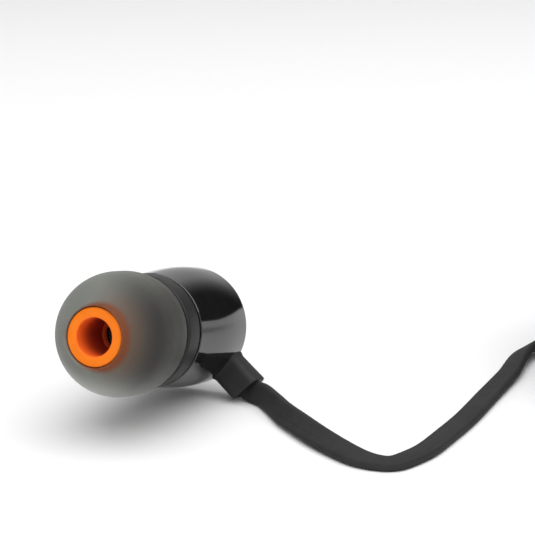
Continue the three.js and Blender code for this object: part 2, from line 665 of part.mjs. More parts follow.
// ---- Remote ---------------------------------------------------------------------------------
{
  const seam = REMOTE_HEIGHT / 2;
  const middle = REMOTE_FRONT + REMOTE_LENGTH / 2;
  const outside = bar(REMOTE_WIDTH, REMOTE_HEIGHT, REMOTE_LENGTH, REMOTE_ROUND, 4);
  const walls = 2 * REMOTE_WALL;
  const clear = [REMOTE_WIDTH - walls, REMOTE_HEIGHT - walls, REMOTE_LENGTH - walls];
  const inside = bar(...clear, REMOTE_INSIDE_ROUND, 2);
  inside.translate(0, 0, REMOTE_WALL);
  for (const geometry of [outside, inside]) {
    geometry.rotateX(-Math.PI / 2);
    geometry.translate(REMOTE_X, REMOTE_FRONT, REMOTE_HEIGHT / 2);
  }
  const hollow = toSolid(outside).subtract(toSolid(inside));
  const halfBox = (low) => {
    const cut = box(REMOTE_WIDTH + 2, REMOTE_LENGTH + 2, REMOTE_HEIGHT);
    const away = (REMOTE_HEIGHT + GAP) / 2;
    cut.translate(REMOTE_X, middle, low ? seam - away : seam + away);
    return toSolid(cut);
  };
  const slot = box(BUTTON_WIDTH + 2 * RUN_GAP, BUTTON_LENGTH + 2 * RUN_GAP, REMOTE_HEIGHT);
  slot.translate(REMOTE_X, middle, REMOTE_HEIGHT);
  piece('remote_rear', toGeometry(hollow.intersect(halfBox(true))), 'rubber', strip);
  const upper = hollow.intersect(halfBox(false)).subtract(toSolid(slot));
  piece('remote_front', toGeometry(upper), 'rubber', strip);
  const button = bar(BUTTON_WIDTH, BUTTON_LENGTH, BUTTON_THICK + BUTTON_PROUD, 1, 3);
  button.translate(REMOTE_X, middle, REMOTE_HEIGHT - BUTTON_THICK);
  piece('remote_button', button, 'gloss', strip);
  const board = box(REMOTE_WIDTH - walls - 2 * GAP, REMOTE_LENGTH - walls - 1, BOARD_THICK);
  board.translate(REMOTE_X, middle, REMOTE_WALL + GAP + BOARD_THICK / 2);
  piece('remote_board', board, 'board', strip);
  const boardTop = REMOTE_WALL + 2 * GAP + BOARD_THICK;
  const domeHeight = REMOTE_HEIGHT - BUTTON_THICK - SWITCH_CLEARANCE - boardTop;
  const dome = disc(SWITCH_RADIUS, 0, domeHeight, ROUND_IN);
  dome.translate(REMOTE_X, middle, boardTop);
  piece('remote_switch', dome, 'metal', strip);
  const microphone = disc(MICROPHONE_RADIUS, 0, MICROPHONE_HEIGHT, ROUND_IN);
  microphone.translate(REMOTE_X, REMOTE_FRONT + MICROPHONE_FROM, boardTop);
  piece('microphone', microphone, 'metal', strip);
}

// ---- Plug -----------------------------------------------------------------------------------
{
  const plug = new THREE.Group();
  plug.rotation.x = -Math.PI / 2;
  plug.position.set(PLUG_X, PLUG_START, PLUG_Z);
  const gripStart = RELIEF_LENGTH + GAP;
  const gripEnd = gripStart + GRIP_LENGTH;
  const relief = [[0, 0], [RELIEF_START, 0], [RELIEF_RADIUS, RELIEF_LENGTH], [0, RELIEF_LENGTH]];
  piece('plug_relief', turned(relief, ROUND_IN), 'rubber', plug);
  piece('plug_grip', turned([
    [0, gripStart], [GRIP_RADIUS - 0.5, gripStart], [GRIP_RADIUS, gripStart + 0.6],
    [GRIP_RADIUS, gripEnd - 0.3], [GRIP_RADIUS - 0.3, gripEnd], [0, gripEnd],
  ]), 'gloss', plug);
  let end = gripEnd + GAP;
  const jack = [];
  for (const [name, length] of [['plug_sleeve', JACK_SLEEVE], ['plug_ring', JACK_RING]]) {
    jack.push([name, end, end + length]);
    end += length + JACK_BAND;
  }
  for (const [name, from, to] of jack) {
    piece(name, ring(JACK_CORE + GAP / 2, JACK_RADIUS, from, to, ROUND_IN), 'gold', plug);
  }
  piece('plug_tip', turned([
    [0, end], [JACK_RADIUS, end], [JACK_RADIUS, end + JACK_TIP * 0.3],
    [JACK_RADIUS - TIP_NECK, end + JACK_TIP * 0.45], [JACK_RADIUS - TIP_NECK / 3, end + JACK_TIP * 0.6],
    [JACK_RADIUS * 0.3, end + JACK_TIP], [0, end + JACK_TIP],
  ], ROUND_IN), 'gold', plug);
  const [sleeve, contact] = jack;
  const bandRadius = JACK_RADIUS - BAND_INSET;
  piece('plug_insulator', turned([
    [0, gripEnd + GAP], [JACK_CORE, gripEnd + GAP],
    [JACK_CORE, sleeve[2] + BAND_GAP], [bandRadius, sleeve[2] + BAND_GAP],
    [bandRadius, contact[1] - BAND_GAP], [JACK_CORE, contact[1] - BAND_GAP],
    [JACK_CORE, contact[2] + BAND_GAP],
    [bandRadius, contact[2] + BAND_GAP], [bandRadius, end - BAND_GAP], [0, end - BAND_GAP],
  ], ROUND_IN), 'rubber', plug);
  model.add(plug);
}

// The origin is midway between the earbuds, on the floor.
model.position.set(-RIGHT_SHIFT.x / 2, -RIGHT_SHIFT.y / 2, 0);

export default model;
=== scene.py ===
"""Looks of a pair of wired earphones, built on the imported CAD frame.

Every piece is a mesh at the origin in the row frame, in metres, and rides on a CAD body.
"""

import json
import logging
import math
from dataclasses import dataclass, field
from enum import Enum
from typing import Callable, Iterable, Optional, Sequence, Union

import bpy
from bpy.types import ID, Material, Node, NodeSocket, NodeTree, Object
from mathutils import Matrix, Vector


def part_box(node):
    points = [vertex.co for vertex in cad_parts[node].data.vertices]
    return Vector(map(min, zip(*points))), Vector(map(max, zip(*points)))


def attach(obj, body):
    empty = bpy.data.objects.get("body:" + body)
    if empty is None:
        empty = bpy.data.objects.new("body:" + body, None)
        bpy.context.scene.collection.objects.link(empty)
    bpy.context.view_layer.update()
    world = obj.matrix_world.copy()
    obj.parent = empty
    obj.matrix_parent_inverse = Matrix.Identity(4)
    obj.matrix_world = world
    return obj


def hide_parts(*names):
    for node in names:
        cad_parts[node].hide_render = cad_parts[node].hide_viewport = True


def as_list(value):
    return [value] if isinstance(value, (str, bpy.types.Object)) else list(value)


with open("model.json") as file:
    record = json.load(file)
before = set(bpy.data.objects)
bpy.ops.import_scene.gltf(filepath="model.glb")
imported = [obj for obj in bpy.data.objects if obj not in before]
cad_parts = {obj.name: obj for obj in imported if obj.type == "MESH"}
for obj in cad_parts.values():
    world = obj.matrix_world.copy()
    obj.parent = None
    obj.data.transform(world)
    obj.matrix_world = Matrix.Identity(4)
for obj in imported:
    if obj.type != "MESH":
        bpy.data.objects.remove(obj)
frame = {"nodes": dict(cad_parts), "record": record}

log = logging.getLogger("earphones")
MM = 0.001
ORIGIN = Vector((15.85, 4.25, 0.0))  # of the row frame, in the layout that lengths here are given in

Point2 = tuple[float, float]
Point3 = tuple[float, float, float]
Face = tuple[int, ...]
Colour = tuple[float, float, float]
Feeds = dict[Union[str, int], object]


class Side(Enum):
    """Which ear a bud is for."""

    LEFT = "left"
    RIGHT = "right"


class Slot(Enum):
    """Material slots of the record."""

    SILICONE = "silicone"
    ORANGE = "orange"
    SATIN = "satin"
    GLOSS = "gloss"
    RUBBER = "rubber"
    CORD = "cord"
    METAL = "metal"
    GOLD = "gold"
    COPPER = "copper"
    BOARD = "board"
    FILM = "film"


# ---- Meshes ---------------------------------------------------------------------------------
ON_AXIS = 1e-6
CORNER_SHRINK = 0.5  # of a corner's radius, for each millimetre of inset


def linked(name: str, data: ID) -> Object:
    """Puts data into the scene.

    Args:
        name: of the new object.
        data: its mesh, light or camera.

    Returns:
        The object, at the origin.
    """
    obj = bpy.data.objects.new(name, data)
    bpy.context.scene.collection.objects.link(obj)
    return obj


@dataclass
class Shape:
    """A mesh in the making, in millimetres, with named numbers at its points."""

    points: list[Vector] = field(default_factory=list)
    faces: list[Face] = field(default_factory=list)
    numbers: dict[str, list[float]] = field(default_factory=dict)

    def point(self, place: Vector, **numbers: float) -> int:
        """Adds a point.

        Args:
            place: where it is.
            numbers: its named numbers.

        Returns:
            Its index.
        """
        self.points.append(place)
        for name, value in numbers.items():
            self.numbers.setdefault(name, []).append(value)
        return len(self.points) - 1

    def moved(self, matrix: Matrix) -> "Shape":
        """The same shape, placed by a matrix."""
        return Shape([matrix @ p for p in self.points], list(self.faces), dict(self.numbers))

    def outward(self) -> "Shape":
        """Turns every face over where the shape is inside out.

        Returns:
            This shape.
        """
        volume = 0.0
        for face in self.faces:
            a, *rest = (self.points[i] for i in face)
            volume += sum(a.dot(b.cross(c)) for b, c in zip(rest, rest[1:]))
        if volume < 0:
            self.faces = [tuple(reversed(f)) for f in self.faces]
        return self

    def to_object(self, name: str, crease: float) -> Object:
        """Makes the Blender object.

        Args:
            name: of the object and of its mesh.
            crease: angle in degrees over which an edge shows sharp.

        Returns:
            A mesh object at the origin, in metres.
        """
        mesh = bpy.data.meshes.new(name)
        mesh.from_pydata([tuple((p - ORIGIN) * MM) for p in self.points], [], self.faces)
        for label, values in self.numbers.items():
            mesh.attributes.new(label, "FLOAT", "POINT").data.foreach_set("value", values)
        mesh.shade_smooth()
        mesh.set_sharp_from_angle(angle=math.radians(crease))
        mesh.update()
        return linked(name, mesh)


def arc(r0: float, s0: float, radius: float, start: float, end: float, steps: int = 6) -> list[Point2]:
    """Points on a circle in a profile.

    Args:
        r0: centre, away from the axis.
        s0: centre, along the axis.
        radius: of the circle.
        start: angle in degrees, 0 along the axis and 90 away from it.
        end: last angle in degrees.
        steps: how many pieces it is cut into.

    Returns:
        The points as (away, along).
    """
    turns = [math.radians(start + (end - start) * i / steps) for i in range(steps + 1)]
    return [(r0 + radius * math.sin(t), s0 + radius * math.cos(t)) for t in turns]


def eased(value: float) -> float:
    """Goes smoothly from 0 to 1 as the value does."""
    w = min(1.0, max(0.0, value))
    return w * w * (3 - 2 * w)


def turned(profile: Sequence[Point2], around: int = 96) -> Shape:
    """A solid of revolution about its own Z.

    Args:
        profile: closed outline as (away from the axis, along the axis).
        around: how many steps go round.

    Returns:
        The shape, with the numbers bud_s along the axis, bud_r away from it, and bud_c and bud_n round it.
    """
    shape = Shape()
    rings: list[list[int]] = []
    for away, along in profile:
        ring = []
        for k in range(1 if away < ON_AXIS else around):
            c, n = math.cos(2 * math.pi * k / around), math.sin(2 * math.pi * k / around)
            place = Vector((away * c, away * n, along))
            ring.append(shape.point(place, bud_s=along, bud_r=away, bud_c=c, bud_n=n))
        rings.append(ring)
    for one, two in zip(rings, rings[1:] + rings[:1]):
        if len(one) == 1 and len(two) == 1:
            continue
        for k in range(around):
            n = (k + 1) % around
            low = (one[k], one[n]) if len(one) > 1 else (one[0],)
            high = (two[n], two[k]) if len(two) > 1 else (two[0],)
            shape.faces.append(low + high)
    return shape.outward()


def rounded(width: float, height: float, radius: float, steps: int = 10) -> list[Point2]:
    """Outline of a rectangle with round corners, about the origin.

    Args:
        width: along the first axis.
        height: along the second axis.
        radius: of the corners.
        steps: pieces in each corner.

    Returns:
        Points counterclockwise, the same number for the same steps.
    """
    out = []
    wide = width / 2 - radius
    tall = height / 2 - radius
    for corner, (cx, cy) in enumerate(((wide, tall), (-wide, tall), (-wide, -tall), (wide, -tall))):
        for i in range(steps + 1):
            angle = math.pi / 2 * (corner + i / steps)
            out.append((cx + radius * math.cos(angle), cy + radius * math.sin(angle)))
    return out


def skinned(rings: Sequence[Sequence[Vector]], numbers: dict[str, list[float]]) -> Shape:
    """A closed solid through rings of equally many points.

    Args:
        rings: the points of each ring in order.
        numbers: the named numbers of the points, ring by ring.

    Returns:
        The shape.
    """
    shape = Shape([p for ring in rings for p in ring], numbers=numbers)
    sides = len(rings[0])
    for first in range(0, sides * (len(rings) - 1), sides):
        for k in range(sides):
            a, b = first + k, first + (k + 1) % sides
            shape.faces.append((a, b, b + sides, a + sides))
    shape.faces.append(tuple(reversed(range(sides))))
    shape.faces.append(tuple(range(sides * (len(rings) - 1), sides * len(rings))))
    return shape.outward()


def loft(sections: Iterable[tuple[Sequence[Point2], float]]) -> Shape:
    """A closed solid through flat sections, each with its height along the solid's own Z."""
    return skinned([[Vector((x, y, height)) for x, y in outline] for outline, height in sections], {})


def softened(
    outline: Callable[[float], Sequence[Point2]], low: float, high: float, edge: float, steps: int = 5
) -> list[tuple[Sequence[Point2], float]]:
    """Sections of a straight body with rounded ends.

    Args:
        outline: gives the outline for an inset in millimetres.
        low: start along the body.
        high: end along the body.
        edge: radius of both end edges.
        steps: pieces in each edge.

    Returns:
        The sections for loft.
    """
    ends = [*arc(edge, low + edge, edge, 180, 270, steps), *arc(edge, high - edge, edge, -90, 0, steps)]
    return [(outline(inset), height) for inset, height in ends]


# ---- Where things are -----------------------------------------------------------------------
@dataclass(frozen=True)
class BudFrame:
    """Place of one earbud: its own Z runs from the tip to the rear, its own X along the boot."""

    side: Side
    heading: float = math.radians(22.6)
    tilt: float = math.radians(12.66)
    roll: float = math.radians(37.4)
    core_half: float = 4.25

    def axes(self) -> tuple[Vector, Vector, Vector]:
        """Own axes.

        Returns:
            X, Y and Z in the row frame.
        """
        level = math.cos(self.tilt)
        back = Vector((math.sin(self.heading) * level, math.cos(self.heading) * level, -math.sin(self.tilt)))
        across = Vector((math.cos(self.heading), -math.sin(self.heading), 0))
        down = back.cross(across)
        if down.z > 0:
            down.negate()
        boot = across * math.cos(self.roll) + down * math.sin(self.roll)
        third = back.cross(boot)
        if self.side is Side.RIGHT:
            half_turn = Matrix.Rotation(math.pi, 3, "Z")
            boot, third, back = half_turn @ boot, half_turn @ third, half_turn @ back
        return boot, third, back

    def front(self) -> Vector:
        """Centre of the core's front in the layout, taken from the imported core."""
        low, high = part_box(f"{self.side.value}_tip_core")
        return (low + high) / 2 / MM + ORIGIN - self.axes()[2] * self.core_half

    def matrix(self) -> Matrix:
        """From the bud's own frame to the row frame, in millimetres."""
        return Matrix.Translation(self.front()) @ Matrix(self.axes()).transposed().to_4x4()


# ---- Cords ----------------------------------------------------------------------------------
CORD_WIDTH = 2.4
CORD_THICK = 0.9
CORD_ROUND = 0.42
CORD_GAP = 0.3
ON_EDGE = 90.0
LOOP_PITCH = 2.05
LAYER_RISE = 2.9
STEPS_PER_TURN = 60
FINE_PER_STOP = 40
SAME_PLACE = 0.2
PILE = (29.5, 13.0)


@dataclass(frozen=True)
class Stop:
    """One place on a cord's route, in millimetres, with the roll of its broad side from level."""

    point: Vector
    roll: float = ON_EDGE
    facing: Optional[Vector] = None


def at(x: float, y: float, roll: float = ON_EDGE, lift: float = 0.0) -> Stop:
    """A stop whose cord lies at a height over the floor.

    Args:
        x: across, in millimetres.
        y: away, in millimetres.
        roll: of the broad side from level, in degrees.
        lift: of the cord's underside over the floor.

    Returns:
        The stop.
    """
    angle = math.radians(roll)
    half_height = (abs(math.sin(angle)) * CORD_WIDTH + abs(math.cos(angle)) * CORD_THICK) / 2
    return Stop(Vector((x, y, half_height + lift)), roll)


def catmull(values: Sequence[Vector], t: float) -> Vector:
    """Catmull-Rom curve through all the values.

    Args:
        values: what the curve goes through.
        t: how far along, by count of values, from 0 to 1.

    Returns:
        The place on the curve.
    """
    last = len(values) - 1
    i = min(int(t * last), last - 1)
    w = t * last - i
    p1, p2 = values[i], values[i + 1]
    p0 = values[i - 1] if i > 0 else p1 + (p1 - p2)
    p3 = values[i + 2] if i + 2 <= last else p2 + (p2 - p1)
    t0 = (p2 - p0) * 0.5
    t1 = (p3 - p1) * 0.5
    a = (p1 - p2) * 2 + t0 + t1
    b = (p2 - p1) * 3 - t0 * 2 - t1
    return a * w**3 + b * w**2 + t0 * w + p1


def smooth(stops: Sequence[Stop], step: float) -> list[Stop]:
    """Even steps along the curve through the stops.

    Args:
        stops: what the cord goes through.
        step: length of a step in millimetres.

    Returns:
        The finer stops.
    """
    places = [s.point for s in stops]
    rolls = [Vector((s.roll, 0, 0)) for s in stops]
    fine = FINE_PER_STOP * len(places)
    lengths = [0.0]
    before = catmull(places, 0)
    for i in range(1, fine + 1):
        here = catmull(places, i / fine)
        lengths.append(lengths[-1] + (here - before).length)
        before = here
    count = max(2, round(lengths[-1] / step))
    out = []
    j = 0
    for i in range(count + 1):
        want = lengths[-1] * i / count
        while j < fine - 1 and lengths[j + 1] < want:
            j += 1
        t = (j + (want - lengths[j]) / (lengths[j + 1] - lengths[j])) / fine
        facing = stops[0].facing if i == 0 else None
        out.append(Stop(catmull(places, t), catmull(rolls, t).x, facing))
    return out


@dataclass(frozen=True)
class Coil:
    """A two-layer coil: it winds inwards, climbs at its middle and winds out again."""

    outer: float
    turns: float
    start: float
    way: int
    floor: float

    def stops(self) -> list[Stop]:
        """The coil's route.

        Returns:
            The stops from its start to its end.
        """
        middle = self.turns / 2
        count = round(self.turns * STEPS_PER_TURN)
        out = []
        for i in range(count + 1):
            turn = i * self.turns / count
            radius = self.outer - LOOP_PITCH * (middle - abs(turn - middle))
            lift = self.floor + LAYER_RISE * eased((turn - middle + 0.25) / 0.5)
            angle = math.radians(self.start + self.way * 360 * turn)
            x, y = PILE[0] + radius * math.cos(angle), PILE[1] + radius * math.sin(angle)
            out.append(at(x, y, lift=lift))
        return out


def swept(stops: Sequence[Stop]) -> Shape:
    """The flat cord along its route.

    Args:
        stops: the route.

    Returns:
        The shape, with the numbers run, in millimetres along it, and flat, from -1 to 1 across it.
    """
    section = rounded(CORD_WIDTH, CORD_THICK, CORD_THICK * CORD_ROUND, 4)
    rings = []
    numbers: dict[str, list[float]] = {"run": [], "flat": []}
    run = 0.0
    for before, stop, after in zip([stops[0], *stops], stops, [*stops[1:], stops[-1]]):
        ahead = (stop.facing or (after.point - before.point)).normalized()
        level = Vector((ahead.y, -ahead.x, 0)).normalized()
        up = level.cross(ahead)
        angle = math.radians(stop.roll)
        broad = level * math.cos(angle) + up * math.sin(angle)
        thin = ahead.cross(broad)
        run += (stop.point - before.point).length
        rings.append([stop.point + broad * across + thin * through for across, through in section])
        numbers["run"] += [run] * len(section)
        numbers["flat"] += [2 * across / CORD_WIDTH for across, _ in section]
    return skinned(rings, numbers)


# ---- Node trees -----------------------------------------------------------------------------
class Graph:
    """Short way of writing a node tree."""

    def __init__(self, tree: NodeTree) -> None:
        """Takes the tree that is written."""
        self.tree = tree

    def node(self, kind: str, feeds: Optional[Feeds] = None, **values: object) -> Node:
        """Adds a node.

        Args:
            kind: its Blender type name.
            feeds: sockets or plain values for its inputs, by name or place.
            values: properties of the node.

        Returns:
            The node.
        """
        made = self.tree.nodes.new(kind)
        for name, value in values.items():
            setattr(made, name, value)
        for key, source in (feeds or {}).items():
            self.join(source, made.inputs[key])
        return made

    def join(self, source: object, target: NodeSocket) -> None:
        """Links a socket to another, or sets the other to a plain value.

        Args:
            source: a socket, a number, a colour, a vector or a data-block.
            target: the socket that takes it.
        """
        if isinstance(source, NodeSocket):
            self.tree.links.new(source, target)
        elif isinstance(source, tuple) and target.type == "RGBA":
            target.default_value = (*source, 1.0)
        else:
            target.default_value = source

    def maths(self, operation: str, *inputs: object) -> NodeSocket:
        """The result of a Math node on sockets or numbers."""
        return self.node("ShaderNodeMath", dict(enumerate(inputs)), operation=operation).outputs[0]

    def times(self, one: object, two: object) -> NodeSocket:
        """The product of two sockets or numbers."""
        return self.maths("MULTIPLY", one, two)

    def rest(self, value: object) -> NodeSocket:
        """What is left of 1 without the value."""
        return self.maths("SUBTRACT", 1.0, value)

    def ramp(self, value: object, low: float, high: float) -> NodeSocket:
        """Goes smoothly from 0 where the value is low to 1 where it is high."""
        feeds = {"Value": value, "From Min": low, "From Max": high}
        return self.node("ShaderNodeMapRange", feeds, interpolation_type="SMOOTHSTEP").outputs["Result"]

    def mix(self, factor: object, one: object, two: object) -> NodeSocket:
        """Mixes two colours: the factor is 0 for the first and 1 for the second."""
        return self.node("ShaderNodeMix", {0: factor, 6: one, 7: two}, data_type="RGBA").outputs[2]

    def xyz(self, *parts: object) -> NodeSocket:
        """A vector from sockets or numbers."""
        return self.node("ShaderNodeCombineXYZ", dict(enumerate(parts))).outputs[0]

    def number(self, name: str) -> NodeSocket:
        """A named number of the mesh."""
        return self.node("ShaderNodeAttribute", attribute_name=name).outputs["Fac"]

    def place(self) -> NodeSocket:
        """Object coordinates, in metres in the row frame."""
        return self.node("ShaderNodeTexCoord").outputs["Object"]

    def given(self, name: str) -> NodeSocket:
        """An input of the group that is written."""
        return self.node("NodeGroupInput").outputs[name]

    def group(self, name: str, feeds: Feeds) -> Node:
        """Adds one of the shared node groups."""
        return self.node("ShaderNodeGroup", feeds, node_tree=bpy.data.node_groups[name])

    @classmethod
    def emptied(cls, owner: ID) -> "Graph":
        """Starts over the node tree of a material or world.

        Args:
            owner: the material or world.

        Returns:
            The graph of its empty tree.
        """
        owner.use_nodes = True
        owner.node_tree.nodes.clear()
        return cls(owner.node_tree)

    @classmethod
    def of_group(cls, name: str, kind: str, ins: dict[str, str], outs: dict[str, str]) -> "Graph":
        """Starts a node group.

        Args:
            name: of the group.
            kind: Blender type name of its tree.
            ins: what each input carries, by name.
            outs: what each output carries, by name.

        Returns:
            The graph of its tree.
        """
        tree = bpy.data.node_groups.new(name, kind)
        for way, sockets in (("INPUT", ins), ("OUTPUT", outs)):
            for label, carries in sockets.items():
                tree.interface.new_socket(name=label, in_out=way, socket_type=f"NodeSocket{carries}")
        return cls(tree)


# ---- Finishes -------------------------------------------------------------------------------
NOISE_SPAN = (0.3, 0.7)
PATCH_SPAN = (0.32, 0.68)
BUMP_DEPTH = 0.00002


class Effects:
    """Node groups that the finishes share."""

    @staticmethod
    def noise(g: Graph, detail: float) -> NodeSocket:
        """Noise in object coordinates, at the group's own scale."""
        feeds = {"Vector": g.place(), "Scale": g.times(g.given("Per mm"), 1 / MM), "Detail": detail}
        return g.node("ShaderNodeTexNoise", feeds).outputs["Fac"]

    @classmethod
    def grain(cls) -> None:
        """Makes the group Grain: fine bumps, as a normal and the noise behind it."""
        ins = {"Per mm": "Float", "Height": "Float"}
        g = Graph.of_group("Grain", "ShaderNodeTree", ins, {"Normal": "Vector", "Mask": "Float"})
        noise = cls.noise(g, 3.0)
        feeds = {"Strength": g.given("Height"), "Distance": BUMP_DEPTH, "Height": noise}
        bump = g.node("ShaderNodeBump", feeds)
        g.node("NodeGroupOutput", {"Normal": bump.outputs["Normal"], "Mask": noise})

    @classmethod
    def mottle(cls) -> None:
        """Makes the group Mottle: soft patches of two colours, and their mask."""
        ins = {"One": "Color", "Two": "Color", "Per mm": "Float"}
        g = Graph.of_group("Mottle", "ShaderNodeTree", ins, {"Colour": "Color", "Mask": "Float"})
        mask = g.ramp(cls.noise(g, 4.0), *PATCH_SPAN)
        g.node("NodeGroupOutput", {"Colour": g.mix(mask, g.given("One"), g.given("Two")), "Mask": mask})


@dataclass(frozen=True)
class Finish:
    """A solid finish with soft patches and fine grain."""

    name: str
    one: Colour
    two: Colour
    rough: tuple[float, float]
    metallic: float = 0.0
    specular: float = 0.5
    patches: float = 0.6
    grain: float = 6.0
    height: float = 0.15

    def colour(self, g: Graph, patches: NodeSocket) -> NodeSocket:
        """The base colour, made from the patches; a finish with more to it makes its own."""
        return patches

    def extra(self) -> Feeds:
        """What only this finish sets on the shader."""
        return {}

    def material(self) -> Material:
        """The material, made once.

        Returns:
            The material of this finish's name.
        """
        found = bpy.data.materials.get(self.name)
        if found is not None:
            return found
        made = bpy.data.materials.new(self.name)
        g = Graph.emptied(made)
        mottle = g.group("Mottle", {"One": self.one, "Two": self.two, "Per mm": self.patches})
        grain = g.group("Grain", {"Height": self.height, "Per mm": self.grain})
        spread = dict(zip(("From Min", "From Max", "To Min", "To Max"), (*NOISE_SPAN, *self.rough)))
        rough = g.node("ShaderNodeMapRange", {"Value": grain.outputs["Mask"], **spread})
        shader = g.node("ShaderNodeBsdfPrincipled", {
            "Base Color": self.colour(g, mottle.outputs["Colour"]),
            "Roughness": rough.outputs["Result"],
            "Normal": grain.outputs["Normal"],
            "Metallic": self.metallic,
            "Specular IOR Level": self.specular,
            **self.extra(),
        })
        g.node("ShaderNodeOutputMaterial", {"Surface": shader.outputs["BSDF"]})
        return made


@dataclass(frozen=True)
class Silicone(Finish):
    """Translucent ear-tip silicone, with a painted warm glow of the core behind it, painted shade on one side
    and a painted paler floor bounce underneath.
    """

    # Painted light and shade: a warm glow of the core, shade near the core and further out, and a pale bounce
    # from the floor.
    painted_core_glow: Colour = (0.16, 0.045, 0.015)
    brown: Colour = (0.105, 0.073, 0.054)
    shade: Colour = (0.036, 0.034, 0.031)
    pale: Colour = (0.40, 0.41, 0.39)
    # Ways round the axis: towards the side with painted shade, and down where the painted floor bounce lies.
    right: tuple[float, float] = (0.736, -0.677)
    down: tuple[float, float] = (0.677, 0.736)
    scatter: float = 0.35
    scatter_reach: Point3 = (0.0022, 0.0016, 0.0011)

    @staticmethod
    def facing(g: Graph, way: tuple[float, float]) -> NodeSocket:
        """How far the dome faces one way round its axis, from -1 to 1."""
        return g.maths("ADD", g.times(g.number("bud_c"), way[0]), g.times(g.number("bud_n"), way[1]))

    def colour(self, g: Graph, patches: NodeSocket) -> NodeSocket:
        """Grey-green, with a painted warm glow round the core, painted shade on one side and a painted paler
        bounce from the floor underneath.

        Args:
            g: the material's graph.
            patches: colour of the soft patches.

        Returns:
            The colour.
        """
        away = g.number("bud_r")
        towards = self.facing(g, self.right)
        side = g.ramp(towards, -0.75, 0.95)
        lee = g.ramp(towards, -0.25, 0.95)
        beyond = g.maths("SUBTRACT", away, g.maths("MULTIPLY_ADD", side, 0.8, 2.9))
        # Painted glow of the orange core seen through the silicone, reaching further out on the shaded side.
        warm = g.times(g.rest(g.ramp(beyond, -0.3, 0.25)), 0.95)
        # Painted shade colour: browner near the core, darker grey-green further out.
        brown = g.mix(g.ramp(away, 3.6, 5.6), self.brown, self.shade)
        # Painted shade over one side of the dome, a little weaker at the rim.
        dark = g.times(lee, g.rest(g.times(g.ramp(away, 5.6, 6.1), 0.12)))
        # Painted paler bounce of light from the floor on the underside.
        under = g.ramp(self.facing(g, self.down), 0.15, 1.0)
        bounce = g.times(under, g.times(g.ramp(away, 3.4, 6.0), 0.8))
        return g.mix(warm, g.mix(dark, g.mix(bounce, patches, self.pale), brown), self.painted_core_glow)

    def extra(self) -> Feeds:
        """Lets light scatter in the silicone."""
        reach = {"Subsurface Radius": self.scatter_reach, "Subsurface Scale": 1.0}
        return {"Subsurface Weight": self.scatter, **reach}


@dataclass(frozen=True)
class Core(Finish):
    """Orange core with painted shade darkening down its bore."""

    # The bore's colour at its mouth, the painted shade deep inside it, and its lip.
    inner: Colour = (0.9, 0.15, 0.02)
    deep: Colour = (0.42, 0.05, 0.02)
    lip: Colour = (0.7, 0.14, 0.03)

    def colour(self, g: Graph, patches: NodeSocket) -> NodeSocket:
        """Orange outside, painted shade darkening to red-brown down the bore, and lighter on the lip at its
        end.

        Args:
            g: the material's graph.
            patches: colour of the soft patches.

        Returns:
            The colour.
        """
        bore = g.rest(g.ramp(g.number("bud_r"), 1.86, 2.0))
        # Painted shade: the bore darkens from inner to deep along its depth.
        wall = g.mix(g.ramp(g.number("bud_s"), 0.2, 3.6), self.inner, self.deep)
        lip = g.ramp(g.number("bud_s"), 5.2, 5.3)
        return g.mix(bore, patches, g.mix(lip, wall, self.lip))


@dataclass(frozen=True)
class Moulded(Finish):
    """Cord jacket with faint lines along it from the mould."""

    line: Colour = (0.045, 0.045, 0.045)

    def colour(self, g: Graph, patches: NodeSocket) -> NodeSocket:
        """Patches with faint lines along the cord.

        Args:
            g: the material's graph.
            patches: colour of the soft patches.

        Returns:
            The colour.
        """
        where = g.xyz(g.times(g.number("flat"), 9.0), g.times(g.number("run"), 0.05))
        lines = g.node("ShaderNodeTexNoise", {"Vector": where, "Scale": 1.0}, noise_dimensions="2D")
        return g.mix(g.times(g.ramp(lines.outputs["Fac"], 0.35, 0.7), 0.25), patches, self.line)


def grey(value: float) -> Colour:
    """A grey."""
    return (value, value, value)


FINISHES: dict[Slot, Finish] = {
    Slot.SILICONE: Silicone(
        "silicone_grey", (0.150, 0.156, 0.140), (0.170, 0.176, 0.160), (0.5, 0.62),
        specular=0.2, patches=0.25, grain=5.0, height=0.5,
    ),
    Slot.ORANGE: Core(
        "core_orange", (0.87, 0.195, 0.008), (0.82, 0.175, 0.007), (0.45, 0.55), specular=0.15, grain=5.0,
    ),
    Slot.SATIN: Finish("plastic_satin", grey(0.016), grey(0.020), (0.42, 0.52), specular=0.25, height=0.3),
    Slot.GLOSS: Finish("plastic_gloss", (0.009, 0.009, 0.0092), grey(0.011), (0.05, 0.09), specular=0.65),
    Slot.RUBBER: Finish("rubber_matt", grey(0.016), grey(0.021), (0.55, 0.7), specular=0.3, height=0.5),
    Slot.CORD: Moulded("cord_jacket", grey(0.023), grey(0.028), (0.66, 0.8), specular=0.15, height=0.25),
    Slot.METAL: Finish("steel_brushed", (0.45, 0.45, 0.46), (0.36, 0.36, 0.37), (0.25, 0.4), metallic=1.0),
    Slot.GOLD: Finish("gold_plate", (0.85, 0.62, 0.27), (0.80, 0.56, 0.22), (0.14, 0.24), metallic=1.0),
    Slot.COPPER: Finish("copper_wire", (0.62, 0.25, 0.12), (0.5, 0.19, 0.09), (0.25, 0.4), metallic=1.0),
    Slot.BOARD: Finish("board_green", (0.01, 0.07, 0.025), (0.015, 0.09, 0.03), (0.35, 0.5), patches=1.2),
    Slot.FILM: Finish("film_clear", (0.35, 0.36, 0.37), (0.42, 0.43, 0.44), (0.2, 0.3)),
}


# ---- Repeated forms -------------------------------------------------------------------------
QUARTER = math.pi / 2


